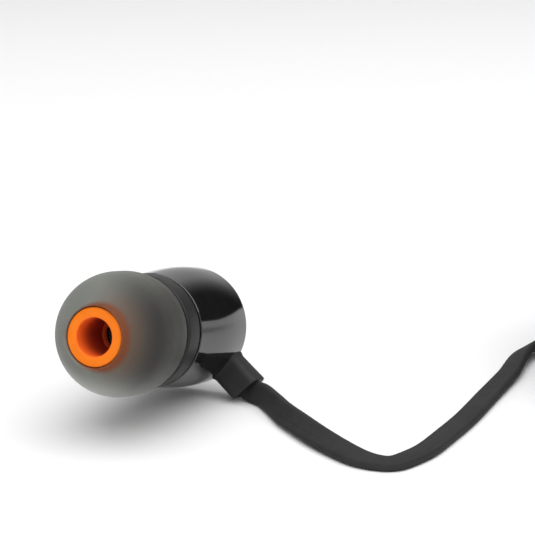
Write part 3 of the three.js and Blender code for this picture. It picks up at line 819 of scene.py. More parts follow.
@dataclass(frozen=True)
class Repeat:
    """Geometry Nodes that make a repeated form, kept as a plain mesh."""

    name: str
    slot: Slot
    values: dict[str, float]

    def build(self, g: Graph) -> NodeSocket:
        """Writes the nodes and gives their geometry; each kind of form has its own."""
        raise NotImplementedError

    @staticmethod
    def along(g: Graph, line: Feeds, form: NodeSocket, **more: object) -> NodeSocket:
        """Puts a form on each point of a line.

        Args:
            g: the graph of the node group.
            line: inputs of the line.
            form: the geometry that repeats.
            more: its Rotation and Scale.

        Returns:
            The instances.
        """
        points = g.node("GeometryNodeMeshLine", line, mode="OFFSET").outputs["Mesh"]
        feeds = {"Points": points, "Instance": form, **more}
        return g.node("GeometryNodeInstanceOnPoints", feeds).outputs["Instances"]

    def to_object(self, matrix: Matrix) -> Object:
        """Runs the nodes once and keeps the mesh.

        Args:
            matrix: from the form's own frame to the row frame, in millimetres.

        Returns:
            A mesh object at the origin, in metres.
        """
        ins = {"Geometry": "Geometry", **dict.fromkeys(self.values, "Float"), "Finish": "Material"}
        g = Graph.of_group(f"{self.name}_nodes", "GeometryNodeTree", ins, {"Geometry": "Geometry"})
        real = g.node("GeometryNodeRealizeInstances", {"Geometry": self.build(g)})
        feeds = {"Geometry": real.outputs["Geometry"], "Material": g.given("Finish")}
        paint = g.node("GeometryNodeSetMaterial", feeds)
        g.node("NodeGroupOutput", {"Geometry": paint.outputs["Geometry"]})
        seed = bpy.data.meshes.new(f"{self.name}_seed")
        obj = linked(self.name, seed)
        modifier = obj.modifiers.new("nodes", "NODES")
        modifier.node_group = g.tree
        values = {**self.values, "Finish": FINISHES[self.slot].material()}
        for item in g.tree.interface.items_tree:
            if item.in_out == "INPUT" and item.name in values:
                modifier[item.identifier] = values[item.name]
        bpy.context.view_layer.update()
        graph = bpy.context.evaluated_depsgraph_get()
        made = bpy.data.meshes.new_from_object(obj.evaluated_get(graph), depsgraph=graph)
        obj.modifiers.clear()
        made.name = self.name
        made.transform(Matrix.Scale(MM, 4) @ Matrix.Translation(-ORIGIN) @ matrix)
        obj.data = made
        bpy.data.meshes.remove(seed)
        return obj


@dataclass(frozen=True)
class Weave(Repeat):
    """Round woven screen: two layers of straight wires cut to a circle."""

    def build(self, g: Graph) -> NodeSocket:
        """Wires one way, and the same wires turned square and lifted.

        Args:
            g: the graph of the node group.

        Returns:
            Both layers.
        """
        radius, pitch, thick = (g.given(name) for name in ("Radius", "Pitch", "Wire"))
        count = g.maths("FLOOR", g.maths("DIVIDE", g.times(radius, 2.0), pitch))
        first = g.times(g.times(g.maths("SUBTRACT", count, 1.0), pitch), -0.5)
        line = {"Count": count, "Start Location": g.xyz(first), "Offset": g.xyz(pitch)}
        wire = g.node("GeometryNodeMeshCylinder", {"Vertices": 6, "Radius": thick, "Depth": 2.0})
        where = g.node("ShaderNodeSeparateXYZ", {0: g.node("GeometryNodeInputPosition").outputs[0]})
        chord = g.maths("SUBTRACT", g.times(radius, radius), g.maths("POWER", where.outputs[0], 2.0))
        size = g.xyz(1.0, 1.0, g.maths("SQRT", g.maths("MAXIMUM", chord, 0.0001)))
        wires = self.along(g, line, wire.outputs["Mesh"], Rotation=(QUARTER, 0, 0), Scale=size)
        lift = g.xyz(0.0, 0.0, g.times(thick, 1.6))
        square = {"Geometry": wires, "Rotation": (0, 0, QUARTER), "Translation": lift}
        both = g.node("GeometryNodeJoinGeometry", {0: wires})
        g.join(g.node("GeometryNodeTransform", square).outputs["Geometry"], both.inputs[0])
        return both.outputs[0]


@dataclass(frozen=True)
class Ribs(Repeat):
    """Rings along a tapering strain relief."""

    def build(self, g: Graph) -> NodeSocket:
        """Rings at an even pitch that grow from the first to the last.

        Args:
            g: the graph of the node group.

        Returns:
            The rings.
        """
        start, step = (g.xyz(0.0, 0.0, g.given(name)) for name in ("First", "Pitch"))
        line = {"Count": g.given("Count"), "Start Location": start, "Offset": step}
        circle = g.node("GeometryNodeCurvePrimitiveCircle", {"Resolution": 40, "Radius": 1.0})
        thick = g.node("GeometryNodeCurvePrimitiveCircle", {"Resolution": 10, "Radius": g.given("Thick")})
        feeds = {"Curve": circle.outputs["Curve"], "Profile Curve": thick.outputs["Curve"]}
        tube = g.node("GeometryNodeCurveToMesh", feeds).outputs["Mesh"]
        order = g.node("GeometryNodeInputIndex").outputs[0]
        grown = g.maths("ADD", g.given("Radius"), g.times(order, g.given("Grow")))
        return self.along(g, line, tube, Scale=g.xyz(grown, grown, 1.0))


# ---- Sub-assemblies -------------------------------------------------------------------------
@dataclass
class Assembly:
    """A group of pieces that are finished and hung on their bodies in the same way."""

    def build(self) -> None:
        """Makes the pieces; each group has its own."""
        raise NotImplementedError

    @staticmethod
    def keep(obj: Object, slot: Slot, body: str = "root", stands_for: Sequence[str] = ()) -> None:
        """Finishes a piece and ties it to the frame.

        Args:
            obj: the piece.
            slot: its material slot.
            body: the CAD body that it rides on.
            stands_for: the CAD nodes that it is shown in place of.
        """
        obj.data.materials.clear()
        obj.data.materials.append(FINISHES[slot].material())
        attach(obj, body)
        if stands_for:
            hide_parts(*stands_for)
        nodes = ", ".join(stands_for) or "none"
        log.info("%s: %d faces on %s, for %s", obj.name, len(obj.data.polygons), body, nodes)


@dataclass
class Earbud(Assembly):
    """One earbud: tip, collar, shell and boot, with the inside shown from the CAD nodes."""

    side: Side
    core: Point2 = (1.85, 2.86)
    core_length: float = 8.5
    core_socket: float = 2.45
    core_edge: float = 0.15
    core_gap: float = 0.15
    dome_radius: float = 6.1
    dome_centre: float = 5.11
    dome_skirt: float = 1.3
    dome_rim: float = 8.5
    dome_wall: float = 0.5
    dome_gap: float = 0.06
    dome_lip: float = 0.12
    collar: Point2 = (9.1, 11.5)
    collar_radius: float = 5.75
    collar_edge: float = 0.3
    nozzle: Point2 = (1.7, 2.3)
    nozzle_start: float = 5.9
    screen_depth: float = 0.36
    shell: Point2 = (11.95, 22.95)
    shell_radius: float = 5.75
    shell_rear: float = 6.15
    shell_bulge: float = 0.22
    shell_edge: float = 0.7
    wall: float = 0.65
    cap_gap: float = 0.15
    cap_depth: float = 0.25
    cap_thick: float = 0.9
    cap_edge: float = 0.2
    boot_s: float = 21.15
    boot_end: float = 9.45
    boot_size: float = 3.4
    boot_corner: float = 0.8
    boot_edge: float = 0.2
    boot_foot: float = 4.45
    boot_root: float = 5.2
    boot_bend: float = 6.0
    boot_taper: float = 0.07
    boot_lean: float = 0.45
    boot_slant: float = 0.19
    saddle: float = 0.16
    saddle_reach: float = 0.28

    def name(self, part: str) -> str:
        """Name of one of this bud's pieces or CAD nodes."""
        return f"{self.side.value}_{part}"

    def dome(self) -> Shape:
        """The skirted dome with a round rim.

        Returns:
            Its shape in the bud's own frame.
        """
        hole = self.core[1] + self.dome_gap
        big = self.dome_radius
        small = big - self.dome_wall
        mouth = math.degrees(math.asin((hole + self.dome_lip) / big))
        skirt = self.dome_centre + self.dome_skirt
        close = 90 - math.degrees(math.asin((self.dome_rim - 0.1 - skirt) / big))
        outside = [
            *arc(0, self.dome_centre, big, 180 - mouth, 90, 34),
            *((big, self.dome_centre + self.dome_skirt * i / 5) for i in range(1, 5)),
            *arc(0, skirt, big, 90, close, 10),
        ]
        inside = [
            *arc(0, skirt, small, close, 90, 8),
            *arc(0, self.dome_centre, small, 90, 180 - mouth - 8, 26),
        ]
        half = self.dome_wall / 2
        away, along = arc(0, skirt, big - half, close, close)[0]
        rim = arc(away, along, half, close - 22.5, close - 157.5)
        front = outside[0][1]
        lip = [(hole, front + 0.2), (hole + 0.03, front + 0.06)]
        return turned([*lip, *outside, *rim, *inside, (hole, inside[-1][1] + self.dome_wall)], 128)

    def tip_core(self) -> Shape:
        """The core with soft front edges and its socket behind.

        Returns:
            Its shape in the bud's own frame.
        """
        bore, out = self.core
        soft = self.core_edge
        edges = [*arc(bore + soft, soft, soft, 270, 180), *arc(out - soft, soft, soft, 180, 90)]
        step = self.nozzle_start - self.core_gap
        socket = [(out, self.core_length), (self.core_socket, self.core_length), (self.core_socket, step)]
        inner = [(1.6, step), (1.6, step - 0.2), (1.72, step - 0.42), (1.79, step - 0.47), (bore, step - 0.5)]
        return turned([*edges, *socket, *inner])

    def front(self) -> Shape:
        """The nozzle and the collar, with a round edge in front.

        Returns:
            Its shape in the bud's own frame.
        """
        start, end = self.collar
        edge = self.collar_edge
        bore, out = self.nozzle
        first = self.nozzle_start
        radius = self.collar_radius
        inside = start + self.wall
        return turned([
            (bore, first + 0.08), (bore + 0.08, first), (out - 0.08, first), (out, first + 0.08),
            (out, start - 0.2), (out + 0.2, start), *arc(radius - edge, start + edge, edge, 180, 90),
            (radius, end - 0.06), (radius - 0.06, end), (radius - self.wall, end),
            (radius - self.wall, inside), (bore, inside),
        ], 128)

    def rear(self) -> Shape:
        """The shell, slightly tapered, with a small front edge and a round rear one.

        Returns:
            Its shape in the bud's own frame.
        """
        start, end = self.shell
        front = self.shell_radius
        back = self.shell_rear
        edge = self.shell_edge
        outside = [(front - 0.08, start), (front, start + 0.08)]
        for i in range(1, 20):
            share = i / 20
            swell = self.shell_bulge * math.sin(math.pi * share**1.3)
            outside.append((front + (back - front) * share + swell, start + (end - edge - start) * share))
        outside += arc(back - edge, end - edge, edge, 90, 0, 10)
        inside = front - self.wall
        return turned([(inside, start), *outside, (back - self.wall, end), (inside, start + 0.5)], 160)

    def cap(self) -> Shape:
        """The shallow cap in the shell's rear.

        Returns:
            Its shape in the bud's own frame.
        """
        radius = self.shell_rear - self.wall - self.cap_gap
        face = self.shell[1] - self.cap_depth
        low = face - self.cap_thick
        soft = self.cap_edge
        return turned([(0, low), (radius, low), *arc(radius - soft, face - soft, soft, 90, 0), (0, face)])

    def boot(self) -> Shape:
        """The cable boot: a rounded block that narrows a little, on a low saddle.

        Returns:
            Its shape in the bud's own frame.
        """
        high = self.boot_end
        edge = self.boot_edge

        def section(inset: float, height: float) -> tuple[list[Point2], float]:
            """Section of the boot; its front half is thinner at its root.

            Args:
                inset: how far its outline is drawn in.
                height: its height over the bud's axis.

            Returns:
                The outline and the height.
            """
            along = max(0.0, (height - self.boot_foot) / (high - self.boot_foot))
            deep = self.boot_size * (1 - self.boot_taper * along)
            corner = self.boot_corner - CORNER_SHRINK * inset
            outline = rounded(self.boot_size - 2 * inset, deep - 2 * inset, corner, 8)
            thin = 1 - self.boot_lean * (1 - along)
            return [(x, y * thin if y < 0 else y) for x, y in outline], height

        heights = [self.boot_root, *(5.5 + 0.08 * i for i in range(18)), *(7.0 + 0.35 * i for i in range(6))]
        sections = [section(0, height) for height in heights]
        sections += [section(inset, height) for inset, height in arc(edge, high - edge, edge, -90, 0)]
        lay = Matrix(((0, 0, 1, 0), (1, 0, 0, 0), (0, 1, 0, self.boot_s), (0, 0, 0, 1)))
        shape = loft(sections).moved(lay)
        for point in shape.points:
            rise = max(0.0, (point.x - self.boot_bend) / (high - self.boot_bend))
            point.x -= self.boot_slant * point.y * rise
            over = max(0.0, math.hypot(point.x, point.y) - self.shell_rear)
            sideways = Vector((0, point.y, point.z - self.boot_s))
            if sideways.length > 0.5:
                point += sideways.normalized() * self.saddle * math.exp(-((over / self.saddle_reach) ** 2))
        return shape.outward()

    def build(self) -> None:
        """Makes the bud's pieces, each in place of the CAD node of its name."""
        place = BudFrame(self.side).matrix()
        for part, shape, slot, body, crease in (
            ("tip_dome", self.dome(), Slot.SILICONE, self.name("tip"), 50),
            ("tip_core", self.tip_core(), Slot.ORANGE, self.name("tip"), 40),
            ("front_housing", self.front(), Slot.SATIN, "root", 40),
            ("rear_shell", self.rear(), Slot.GLOSS, "root", 40),
            ("rear_cap", self.cap(), Slot.GLOSS, "root", 40),
            ("cable_boot", self.boot(), Slot.RUBBER, "root", 50),
        ):
            obj = shape.moved(place).to_object(f"{self.name(part)}_look", crease)
            self.keep(obj, slot, body, [self.name(part)])
        screen = self.name("nozzle_screen")
        weave = Weave(f"{screen}_look", Slot.METAL, {"Radius": 1.65, "Pitch": 0.22, "Wire": 0.055})
        depth = Vector((0, 0, self.nozzle_start + self.screen_depth))
        self.keep(weave.to_object(place @ Matrix.Translation(depth)), Slot.METAL, "root", [screen])


# Fittings stand along Y where they are drawn, and STRIP turns them to lie along X
STRIP = Matrix.Translation(Vector((34.7, 38.2, 0))) @ Matrix.Rotation(-QUARTER, 4, "Z")
SPLIT_X = 47.2
SPLIT_FRONT = -14.0
SPLIT_END = 2.0
INLET_OFFSET = 1.25
REMOTE_X = 58.0
REMOTE_FRONT = -14.0
REMOTE_END = 6.0
PLUG_START = Vector((PILE[0], -1.5, 20.2))
BOOT_EXIT_ROLL = 105.0
HIDDEN_IN = 1.2


def on_strip(x: float, y: float) -> Stop:
    """A stop on the floor, given where the remote and the splitter are drawn."""
    stop = at(x, y)
    return Stop(STRIP @ stop.point, stop.roll)


@dataclass
class Cord(Assembly):
    """A flat cord from one piece to another, as one tube."""

    label: str = ""
    nodes: tuple[str, ...] = ()
    far_end: str = "object"
    coil: Optional[Coil] = None
    fittings: tuple[str, ...] = ()

    def route(self, coil: list[Stop]) -> list[list[Stop]]:
        """The stretches of the route in order, with the coil as one; each cord has its own."""
        raise NotImplementedError

    @staticmethod
    def joined(parts: Iterable[Sequence[Stop]]) -> list[Stop]:
        """Joins stretches end to end, and keeps the roll from jumping by half turns.

        Args:
            parts: the stretches in order.

        Returns:
            One route.
        """
        out: list[Stop] = []
        for part in parts:
            shift = 180.0 * round((out[-1].roll - part[0].roll) / 180) if out else 0.0
            for stop in part:
                if not out or (stop.point - out[-1].point).length >= SAME_PLACE:
                    out.append(Stop(stop.point, stop.roll + shift, stop.facing))
        return out

    @staticmethod
    def leaving(side: Side) -> tuple[list[Stop], Stop]:
        """The start of a cord in a bud's boot.

        Args:
            side: of the bud.

        Returns:
            The stops hidden in the boot, and the one where the cord leaves it.
        """
        matrix = BudFrame(side).matrix()
        bud = Earbud(side)
        point = matrix @ Vector((bud.boot_end + CORD_GAP, 0, bud.boot_s))
        facing = (matrix.to_3x3() @ Vector((1, 0, 0))).normalized()
        *hidden, leaves = (Stop(point - facing * back, BOOT_EXIT_ROLL, facing) for back in (1.1, 0.6, 0.0))
        return hidden, leaves

    def build(self) -> None:
        stops = self.joined(self.route(self.coil.stops()))
        obj = swept(stops).to_object(self.label, 60)
        self.keep(obj, Slot.CORD, "root", self.nodes)
        length = sum((b.point - a.point).length for a, b in zip(stops, stops[1:]))
        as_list(self.fittings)
        log.info("%s is %.0f mm long", self.label, length)


@dataclass
class LeftCord(Cord):
    """From the left bud over the floor to its coil, through the remote and round to the splitter."""

    label: str = "left_branch"
    nodes: tuple[str, ...] = ("left_cable", "left_cable_coil", "left_lead", "left_bend")
    far_end: str = "fitting"
    coil: Coil = Coil(15, 7 / 3, 120, -1, 0)

    def route(self, coil: list[Stop]) -> list[list[Stop]]:
        """The route.

        Args:
            coil: the stops of its coil.

        Returns:
            Its stretches in order.
        """
        hidden, leaves = self.leaving(Side.LEFT)
        laid = [
            at(-20.4, 2.6, 106), at(-19.3, -0.2, 112), at(-18.3, -2.9, 122), at(-16.8, -5.8, 135),
            at(-15.2, -8.6, 148), at(-13.4, -11.2, 160), at(-11.6, -13.3, 170), at(-9.8, -14.3, 178),
            at(-8.2, -14.4, 180), at(-6.7, -13.2, 180), at(-4.8, -10.9, 180), at(-2.8, -7.3, 180),
            at(-0.1, -2.0, 180), at(2.7, 4.4, 182), at(5.8, 11.4, 190), at(9.0, 19.0, 215),
            at(15.0, 23.6, 248), Stop(coil[0].point, 270),
        ]
        lead = [
            at(44.9, 8.5, lift=2.5), at(46.3, 4, lift=1.6), at(49.3, -1.5, lift=0.6), at(51.6, -7),
            at(51.2, -13), at(47.8, -17.8), at(43.5, -19.6), on_strip(REMOTE_X, REMOTE_END + CORD_GAP),
        ]
        through = [on_strip(REMOTE_X, REMOTE_END - 2 * i) for i in range(11)]
        inlet = SPLIT_X + INLET_OFFSET
        bend = [
            on_strip(REMOTE_X, REMOTE_FRONT - CORD_GAP), on_strip(REMOTE_X, -17), on_strip(57.2, -20.2),
            on_strip(54.9, -22.7), on_strip(51.9, -22.9), on_strip(49.5, -20.9), on_strip(48.5, -17.4),
            on_strip(inlet, SPLIT_FRONT - CORD_GAP),
        ]
        first, last = smooth([leaves, *laid], 0.35), [on_strip(inlet, SPLIT_FRONT + HIDDEN_IN)]
        return [hidden, first, coil, smooth([coil[-1], *lead], 0.8), through, smooth(bend, 0.6), last]


@dataclass
class RightCord(Cord):
    """From the right bud to its coil and into the splitter."""

    label: str = "right_branch"
    nodes: tuple[str, ...] = ("right_cable", "right_cable_coil", "right_lead")
    coil: Coil = Coil(15, 40 / 9, 35, 1, 2 * LAYER_RISE)

    def route(self, coil: list[Stop]) -> list[list[Stop]]:
        """The route.

        Args:
            coil: the stops of its coil.

        Returns:
            Its stretches in order.
        """
        hidden, leaves = self.leaving(Side.RIGHT)
        laid = [
            at(51.6, 5.4, 104), at(49.9, 7.6, 98, 0.5), at(48.7, 10.6, 93, 2.0), at(47.3, 14.0, lift=3.9),
            at(45.2, 17.6, lift=5.3), at(43.1, 20.3, lift=5.8), coil[0],
        ]
        inlet = SPLIT_X - INLET_OFFSET
        lead = [
            at(15.3, 6.2, lift=8.4), at(15.2, 2.6, lift=6.8), at(14.6, -1.4, lift=4.2),
            at(14.8, -4.9, lift=1.6), at(16.6, -7.3, lift=0.3), on_strip(inlet, SPLIT_FRONT - CORD_GAP),
        ]
        last = [on_strip(inlet, SPLIT_FRONT + HIDDEN_IN)]
        return [hidden, smooth([leaves, *laid], 0.5), coil, smooth([coil[-1], *lead], 0.6), last]


@dataclass
class TrunkCord(Cord):
    """From the splitter up to the big coil and on to the plug."""

    label: str = "trunk"
    nodes: tuple[str, ...] = ("trunk_cable", "trunk_cable_coil", "trunk_lead")
    far_end: str = "plug"
    coil: Coil = Coil(16.5, 86 / 9, 0, 1, 4 * LAYER_RISE)

    def route(self, coil: list[Stop]) -> list[list[Stop]]:
        """The route.

        Args:
            coil: the stops of its coil.

        Returns:
            Its stretches in order.
        """
        rise = [
            on_strip(SPLIT_X, SPLIT_END + CORD_GAP), at(40, -8.9, lift=0.1), at(43.6, -7.8, lift=1.0),
            at(46.6, -4.6, lift=3.0), at(47.9, 0.2, lift=6.4), at(47.1, 5.6, lift=10.0),
            at(46.2, 10, lift=11.5), coil[0],
        ]
        lead = [
            at(14.9, 4.6, lift=14.6), at(16.9, 0.6, lift=15.4), at(20.6, -2.9, lift=16.6),
            at(25.4, -5.2, lift=18.0), at(28.4, -4.9, lift=18.7), Stop(PLUG_START - Vector((0, CORD_GAP, 0))),
        ]
        hidden = [on_strip(SPLIT_X, SPLIT_END - HIDDEN_IN)]
        last = [Stop(PLUG_START + Vector((0, HIDDEN_IN, 0)))]
        return [hidden, smooth(rise, 0.8), coil, smooth([coil[-1], *lead], 0.4), last]


@dataclass
class Splitter(Assembly):
    """The flat splitter where both branches join the trunk."""

    width: float = 6.4
    neck: float = 3.4
    height: float = 3.4
    edge: float = 0.5
    corner: float = 0.8
    neck_corner: float = 0.4

    def outline(self, inset: float) -> list[Point2]:
        """Plan outline from its inlets to its neck.

        Args:
            inset: distance inside the full outline, in millimetres.

        Returns:
            The points counterclockwise.
        """
        length = SPLIT_END - SPLIT_FRONT
        wide = self.width / 2 - inset
        neck = self.neck / 2 - inset
        soft, small = self.corner, self.neck_corner
        right = arc(wide - soft, inset + soft, soft, 180, 90)
        for i in range(25):
            y = 1.2 + (length - 1.6) * i / 24
            right.append((wide + (neck - wide) * eased((y / length - 0.42) / 0.5), y))
        right += arc(neck - small, length - inset - small, small, 90, 0)
        return [*right, *[(-x, y) for x, y in reversed(right)]]

    def build(self) -> None:
        """Makes the splitter."""
        shape = loft(softened(self.outline, 0, self.height, self.edge, 4))
        placed = shape.moved(STRIP @ Matrix.Translation(Vector((SPLIT_X, SPLIT_FRONT, 0))))
        self.keep(placed.to_object("splitter_look", 45), Slot.RUBBER, "root", ["splitter"])


@dataclass
class Remote(Assembly):
    """The inline remote: two half shells with a button on top."""

    width: float = 5.6
    height: float = 4.4
    corner: float = 1.6
    seam: float = 0.12
    edge: float = 0.7
    button_size: Point3 = (2.8, 7.0, 1.2)
    button_span: Point2 = (3.5, 4.9)
    button_edge: float = 0.22

    def shell(self, low: bool) -> Shape:
        """One half of the shell.

        Args:
            low: whether it is the half on the floor.

        Returns:
            The half, closed at the seam.
        """
        way = -1 if low else 1

        def outline(inset: float) -> list[Point2]:
            """Half of the rounded section.

            Args:
                inset: how far its outline is drawn in.

            Returns:
                Its points, from one end of the seam to the other.
            """
            wide = self.width - 2 * inset
            full = rounded(wide, self.height - 2 * inset, self.corner - CORNER_SHRINK * inset)
            half = [(x, y) for x, y in full if y * way > 0.01]
            left, right = ((x, way * self.seam / 2) for x in (-wide / 2, wide / 2))
            if low:
                return [left, *half, right]
            start = max(range(len(half)), key=lambda i: (half[i][0], -half[i][1]))
            return [right, *half[start:], *half[:start], left]

        shape = loft(softened(outline, 0, REMOTE_END - REMOTE_FRONT, self.edge))
        middle = self.height / 2
        stand = Matrix(((1, 0, 0, REMOTE_X), (0, 0, 1, REMOTE_FRONT), (0, 1, 0, middle), (0, 0, 0, 1)))
        return shape.moved(STRIP @ stand).outward()

    def button(self) -> Shape:
        """The button, with soft edges.

        Returns:
            Its shape, in place.
        """
        wide, long, corner = self.button_size

        def outline(inset: float) -> list[Point2]:
            """Rounded outline of the button."""
            return rounded(wide - 2 * inset, long - 2 * inset, corner - CORNER_SHRINK * inset)

        middle = Vector((REMOTE_X, (REMOTE_FRONT + REMOTE_END) / 2, 0))
        shape = loft(softened(outline, *self.button_span, self.button_edge))
        return shape.moved(STRIP @ Matrix.Translation(middle))

    def build(self) -> None:
        """Makes the remote's shells and button."""
        for part, shape, slot, body in (
            ("remote_rear", self.shell(True), Slot.RUBBER, "root"),
            ("remote_front", self.shell(False), Slot.RUBBER, "root"),
            ("remote_button", self.button(), Slot.GLOSS, "button"),
        ):
            self.keep(shape.to_object(f"{part}_look", 45), slot, body, [part])


@dataclass
class Plug(Assembly):
    """The four-pole plug with its grip and ribbed relief; its own Z runs to the tip."""

    grip: Point2 = (5.15, 15.15)
    grip_edge: float = 0.3
    radius: float = 3.0
    jack_gap: float = 0.15
    jack: float = 1.75
    core: float = 0.88
    contact_edge: float = 0.05
    relief: tuple[Point2, ...] = ((0, 0), (1.3, 0), (1.4, 0.1), (1.95, 4.95), (1.9, 5.0), (0, 5.0))
    sleeve: Point2 = (0.0, 5.5)
    ring: Point2 = (6.2, 8.2)
    nose_start: float = 8.9
    nose: tuple[Point2, ...] = (
        (0, 0), (1.75, 0), (1.75, 1.1), (1.66, 1.35), (1.42, 1.6), (1.31, 1.85), (1.36, 2.1), (1.52, 2.3),
        (1.6, 2.5), (1.52, 2.8), (1.2, 3.25), (0.85, 3.65), (0.53, 3.9), (0.25, 4.0), (0, 4.0),
    )
    insulator: tuple[Point2, ...] = (
        (0, 0), (0.8, 0), (0.8, 5.55), (1.65, 5.55), (1.65, 6.15), (0.8, 6.15), (0.8, 8.25), (1.65, 8.25),
        (1.65, 8.85), (0, 8.85),
    )

    def handle(self) -> list[Point2]:
        """Profile of the grip.

        Returns:
            Its points, with a round edge at both ends.
        """
        start, end = self.grip
        root = [(0, start), (self.radius - 0.6, start), (self.radius - 0.5, start + 0.05)]
        root += [(self.radius - 0.5 * (1 - i / 6) ** 2, start + 0.1 + 0.1 * i) for i in range(7)]
        soft = self.grip_edge
        return [*root, *arc(self.radius - soft, end - soft, soft, 90, 0), (0, end)]

    def contact(self, start: float, end: float) -> list[Point2]:
        """Profile of a contact of the jack, with soft ends.

        Args:
            start: of the contact.
            end: of the contact.

        Returns:
            Its points.
        """
        soft = self.contact_edge
        rise = [(self.core, start), (self.jack - soft, start), (self.jack, start + soft)]
        return [*rise, (self.jack, end - soft), (self.jack - soft, end), (self.core, end)]

    def build(self) -> None:
        """Makes the plug's pieces, each in place of the CAD node of its name."""
        x, y, z = PLUG_START
        place = Matrix(((1, 0, 0, x), (0, 0, 1, y), (0, -1, 0, z), (0, 0, 0, 1)))
        face = self.grip[1] + self.jack_gap
        for part, profile, start, slot, around in (
            ("plug_grip", self.handle(), 0.0, Slot.GLOSS, 96),
            ("plug_relief", self.relief, 0.0, Slot.RUBBER, 64),
            ("plug_sleeve", self.contact(*self.sleeve), face, Slot.GOLD, 64),
            ("plug_ring", self.contact(*self.ring), face, Slot.GOLD, 64),
            ("plug_tip", self.nose, face + self.nose_start, Slot.GOLD, 64),
            ("plug_insulator", self.insulator, face, Slot.RUBBER, 64),
        ):
            shape = turned([(away, start + along) for away, along in profile], around)
            self.keep(shape.moved(place).outward().to_object(f"{part}_look", 40), slot, "root", [part])
        values = {"Radius": 1.5, "Grow": 0.085, "Pitch": 0.8, "First": 0.7, "Count": 6.0, "Thick": 0.16}
        self.keep(Ribs("plug_relief_ribs", Slot.RUBBER, values).to_object(place), Slot.RUBBER)


# ---- Photo set-up ---------------------------------------------------------------------------
@dataclass(frozen=True)
class Camera:
    """The photo's camera: level, looking along +Y and down at the buds; distances are in millimetres."""

    lens: float = 121.12
    sensor: float = 36.0
    down: float = math.radians(15)
    right_of_front: float = -16.29
    below_front: float = 6.54
    ahead_of_front: float = 168.92
    clip: tuple[float, float] = (0.01, 20.0)

    def build(self) -> None:
        """Makes the camera and places it from the left core's front."""
        below = Vector((0, -math.sin(self.down), -math.cos(self.down)))
        ahead = Vector((0, math.cos(self.down), -math.sin(self.down)))
        offset = Vector((self.right_of_front, 0, 0)) + below * self.below_front + ahead * self.ahead_of_front
        data = bpy.data.cameras.new("photo_camera")
        data.lens = self.lens
        data.sensor_width = self.sensor
        data.clip_start, data.clip_end = self.clip
        obj = linked("photo_camera", data)
        obj.location = (BudFrame(Side.LEFT).front() - offset - ORIGIN) * MM
        obj.rotation_euler = (QUARTER - self.down, 0, 0)
        bpy.context.scene.camera = obj


@dataclass(frozen=True)
class Lamp:
    """A square soft light that faces the set."""

    name: str
    place: Point3
    size: float
    power: float

    def build(self) -> None:
        """Makes the light."""
        data = bpy.data.lights.new(self.name, "AREA")
        data.energy = self.power
        data.size = self.size
        obj = linked(self.name, data)
        obj.location = self.place
        obj.rotation_euler = (-Vector(self.place)).to_track_quat("-Z", "Y").to_euler()


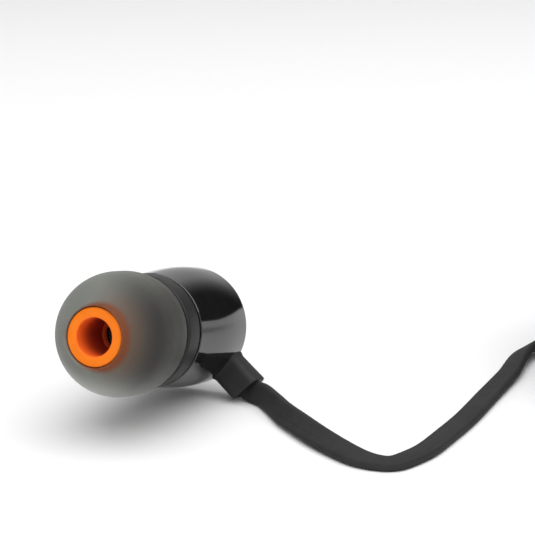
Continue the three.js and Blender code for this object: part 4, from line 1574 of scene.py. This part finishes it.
@dataclass(frozen=True)
class Studio:
    """White floor and plain soft light."""

    floor_half: float = 3.0
    floor_colour: Colour = (0.88, 0.88, 0.88)
    sky: float = 0.62
    card_line: tuple[Point2, ...] = ((-0.25, 0.5), (0.06, 0.5), (0.34, 0.0))
    card_height: float = 0.2
    card_fade: tuple[float, float] = (0.06, 0.18)
    card_glow: float = 0.65
    lamps: tuple[Lamp, ...] = (
        Lamp("over", (0.06, -0.16, 0.58), 0.9, 5.0),
        Lamp("front", (-0.3, -0.65, 0.42), 0.9, 0.6),
    )

    @staticmethod
    def sheet(name: str, corners: list[Point3], faces: list[Face]) -> tuple[Object, Graph]:
        """A flat piece of the set.

        Args:
            name: of the piece.
            corners: in metres.
            faces: as indices of corners.

        Returns:
            The object, and the graph of its empty material.
        """
        mesh = bpy.data.meshes.new(name)
        mesh.from_pydata(corners, [], faces)
        material = bpy.data.materials.new(f"{name}_material")
        mesh.materials.append(material)
        obj = linked(name, mesh)
        return obj, Graph.emptied(material)

    def floor(self) -> None:
        """The pale floor that keeps the shadow."""
        h = self.floor_half
        _, g = self.sheet("floor", [(-h, -h, 0), (h, -h, 0), (h, h, 0), (-h, h, 0)], [(0, 1, 2, 3)])
        matt = g.node("ShaderNodeBsdfDiffuse", {"Color": self.floor_colour})
        g.node("ShaderNodeOutputMaterial", {"Surface": matt.outputs[0]})

    def card(self) -> None:
        """A card behind the set that only gloss shows: it glows at its left and is dark at its right."""
        count = len(self.card_line)
        corners = [(x, y, z) for z in (0.0, self.card_height) for x, y in self.card_line]
        obj, g = self.sheet("flag", corners, [(i, i + 1, i + 1 + count, i + count) for i in range(count - 1)])
        apart = g.node("ShaderNodeSeparateXYZ", {0: g.place()})
        fade = g.rest(g.ramp(apart.outputs["X"], *self.card_fade))
        glow = g.node("ShaderNodeEmission", {"Strength": g.times(fade, self.card_glow)})
        g.node("ShaderNodeOutputMaterial", {"Surface": glow.outputs[0]})
        obj.visible_camera = False
        obj.visible_diffuse = False
        obj.visible_transmission = False
        obj.visible_shadow = False

    def world(self) -> None:
        """Even sky, which the camera and mirrors see as white."""
        world = bpy.data.worlds.new("studio")
        bpy.context.scene.world = world
        g = Graph.emptied(world)
        path = g.node("ShaderNodeLightPath").outputs
        seen = g.maths("MAXIMUM", path["Is Camera Ray"], path["Is Transmission Ray"])
        feeds = {"Value": g.maths("MAXIMUM", seen, path["Is Glossy Ray"]), "To Min": self.sky, "To Max": 1.0}
        back = g.node("ShaderNodeBackground", {"Strength": g.node("ShaderNodeMapRange", feeds).outputs[0]})
        g.node("ShaderNodeOutputWorld", {"Surface": back.outputs[0]})

    def build(self) -> None:
        """Makes the floor, the card, the world and the lamps."""
        bpy.context.scene.view_settings.view_transform = "Standard"
        self.floor()
        self.card()
        self.world()
        for lamp in self.lamps:
            lamp.build()


# ---- The whole ------------------------------------------------------------------------------
def finish_cad(slots: dict[str, str]) -> None:
    """Gives every CAD node its slot's finish.

    Args:
        slots: material slot of each node.
    """
    for name, obj in frame["nodes"].items():
        obj.data.materials.clear()
        obj.data.materials.append(FINISHES[Slot(slots[name])].material())
    log.info("%d CAD nodes have a finish", len(frame["nodes"]))


def main() -> None:
    """Builds the scene."""
    logging.basicConfig(level=logging.INFO, format="%(message)s")
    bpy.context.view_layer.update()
    Camera().build()
    Effects.grain()
    Effects.mottle()
    on_left = ("remote_rear_look", "remote_front_look", "remote_button_look", "splitter_look")
    on_trunk = (
        "plug_relief_look", "plug_relief_ribs", "plug_grip_look", "plug_sleeve_look", "plug_ring_look",
        "plug_tip_look", "plug_insulator_look",
    )
    finish_cad({part["node"]: part["material_slot"] for part in frame["record"]["subparts"]})
    for assembly in (
        Splitter(), Remote(), Plug(), Earbud(Side.LEFT), Earbud(Side.RIGHT),
        LeftCord(fittings=on_left), RightCord(), TrunkCord(fittings=on_trunk),
    ):
        assembly.build()
    Studio().build()


if __name__ == "__main__":
    main()
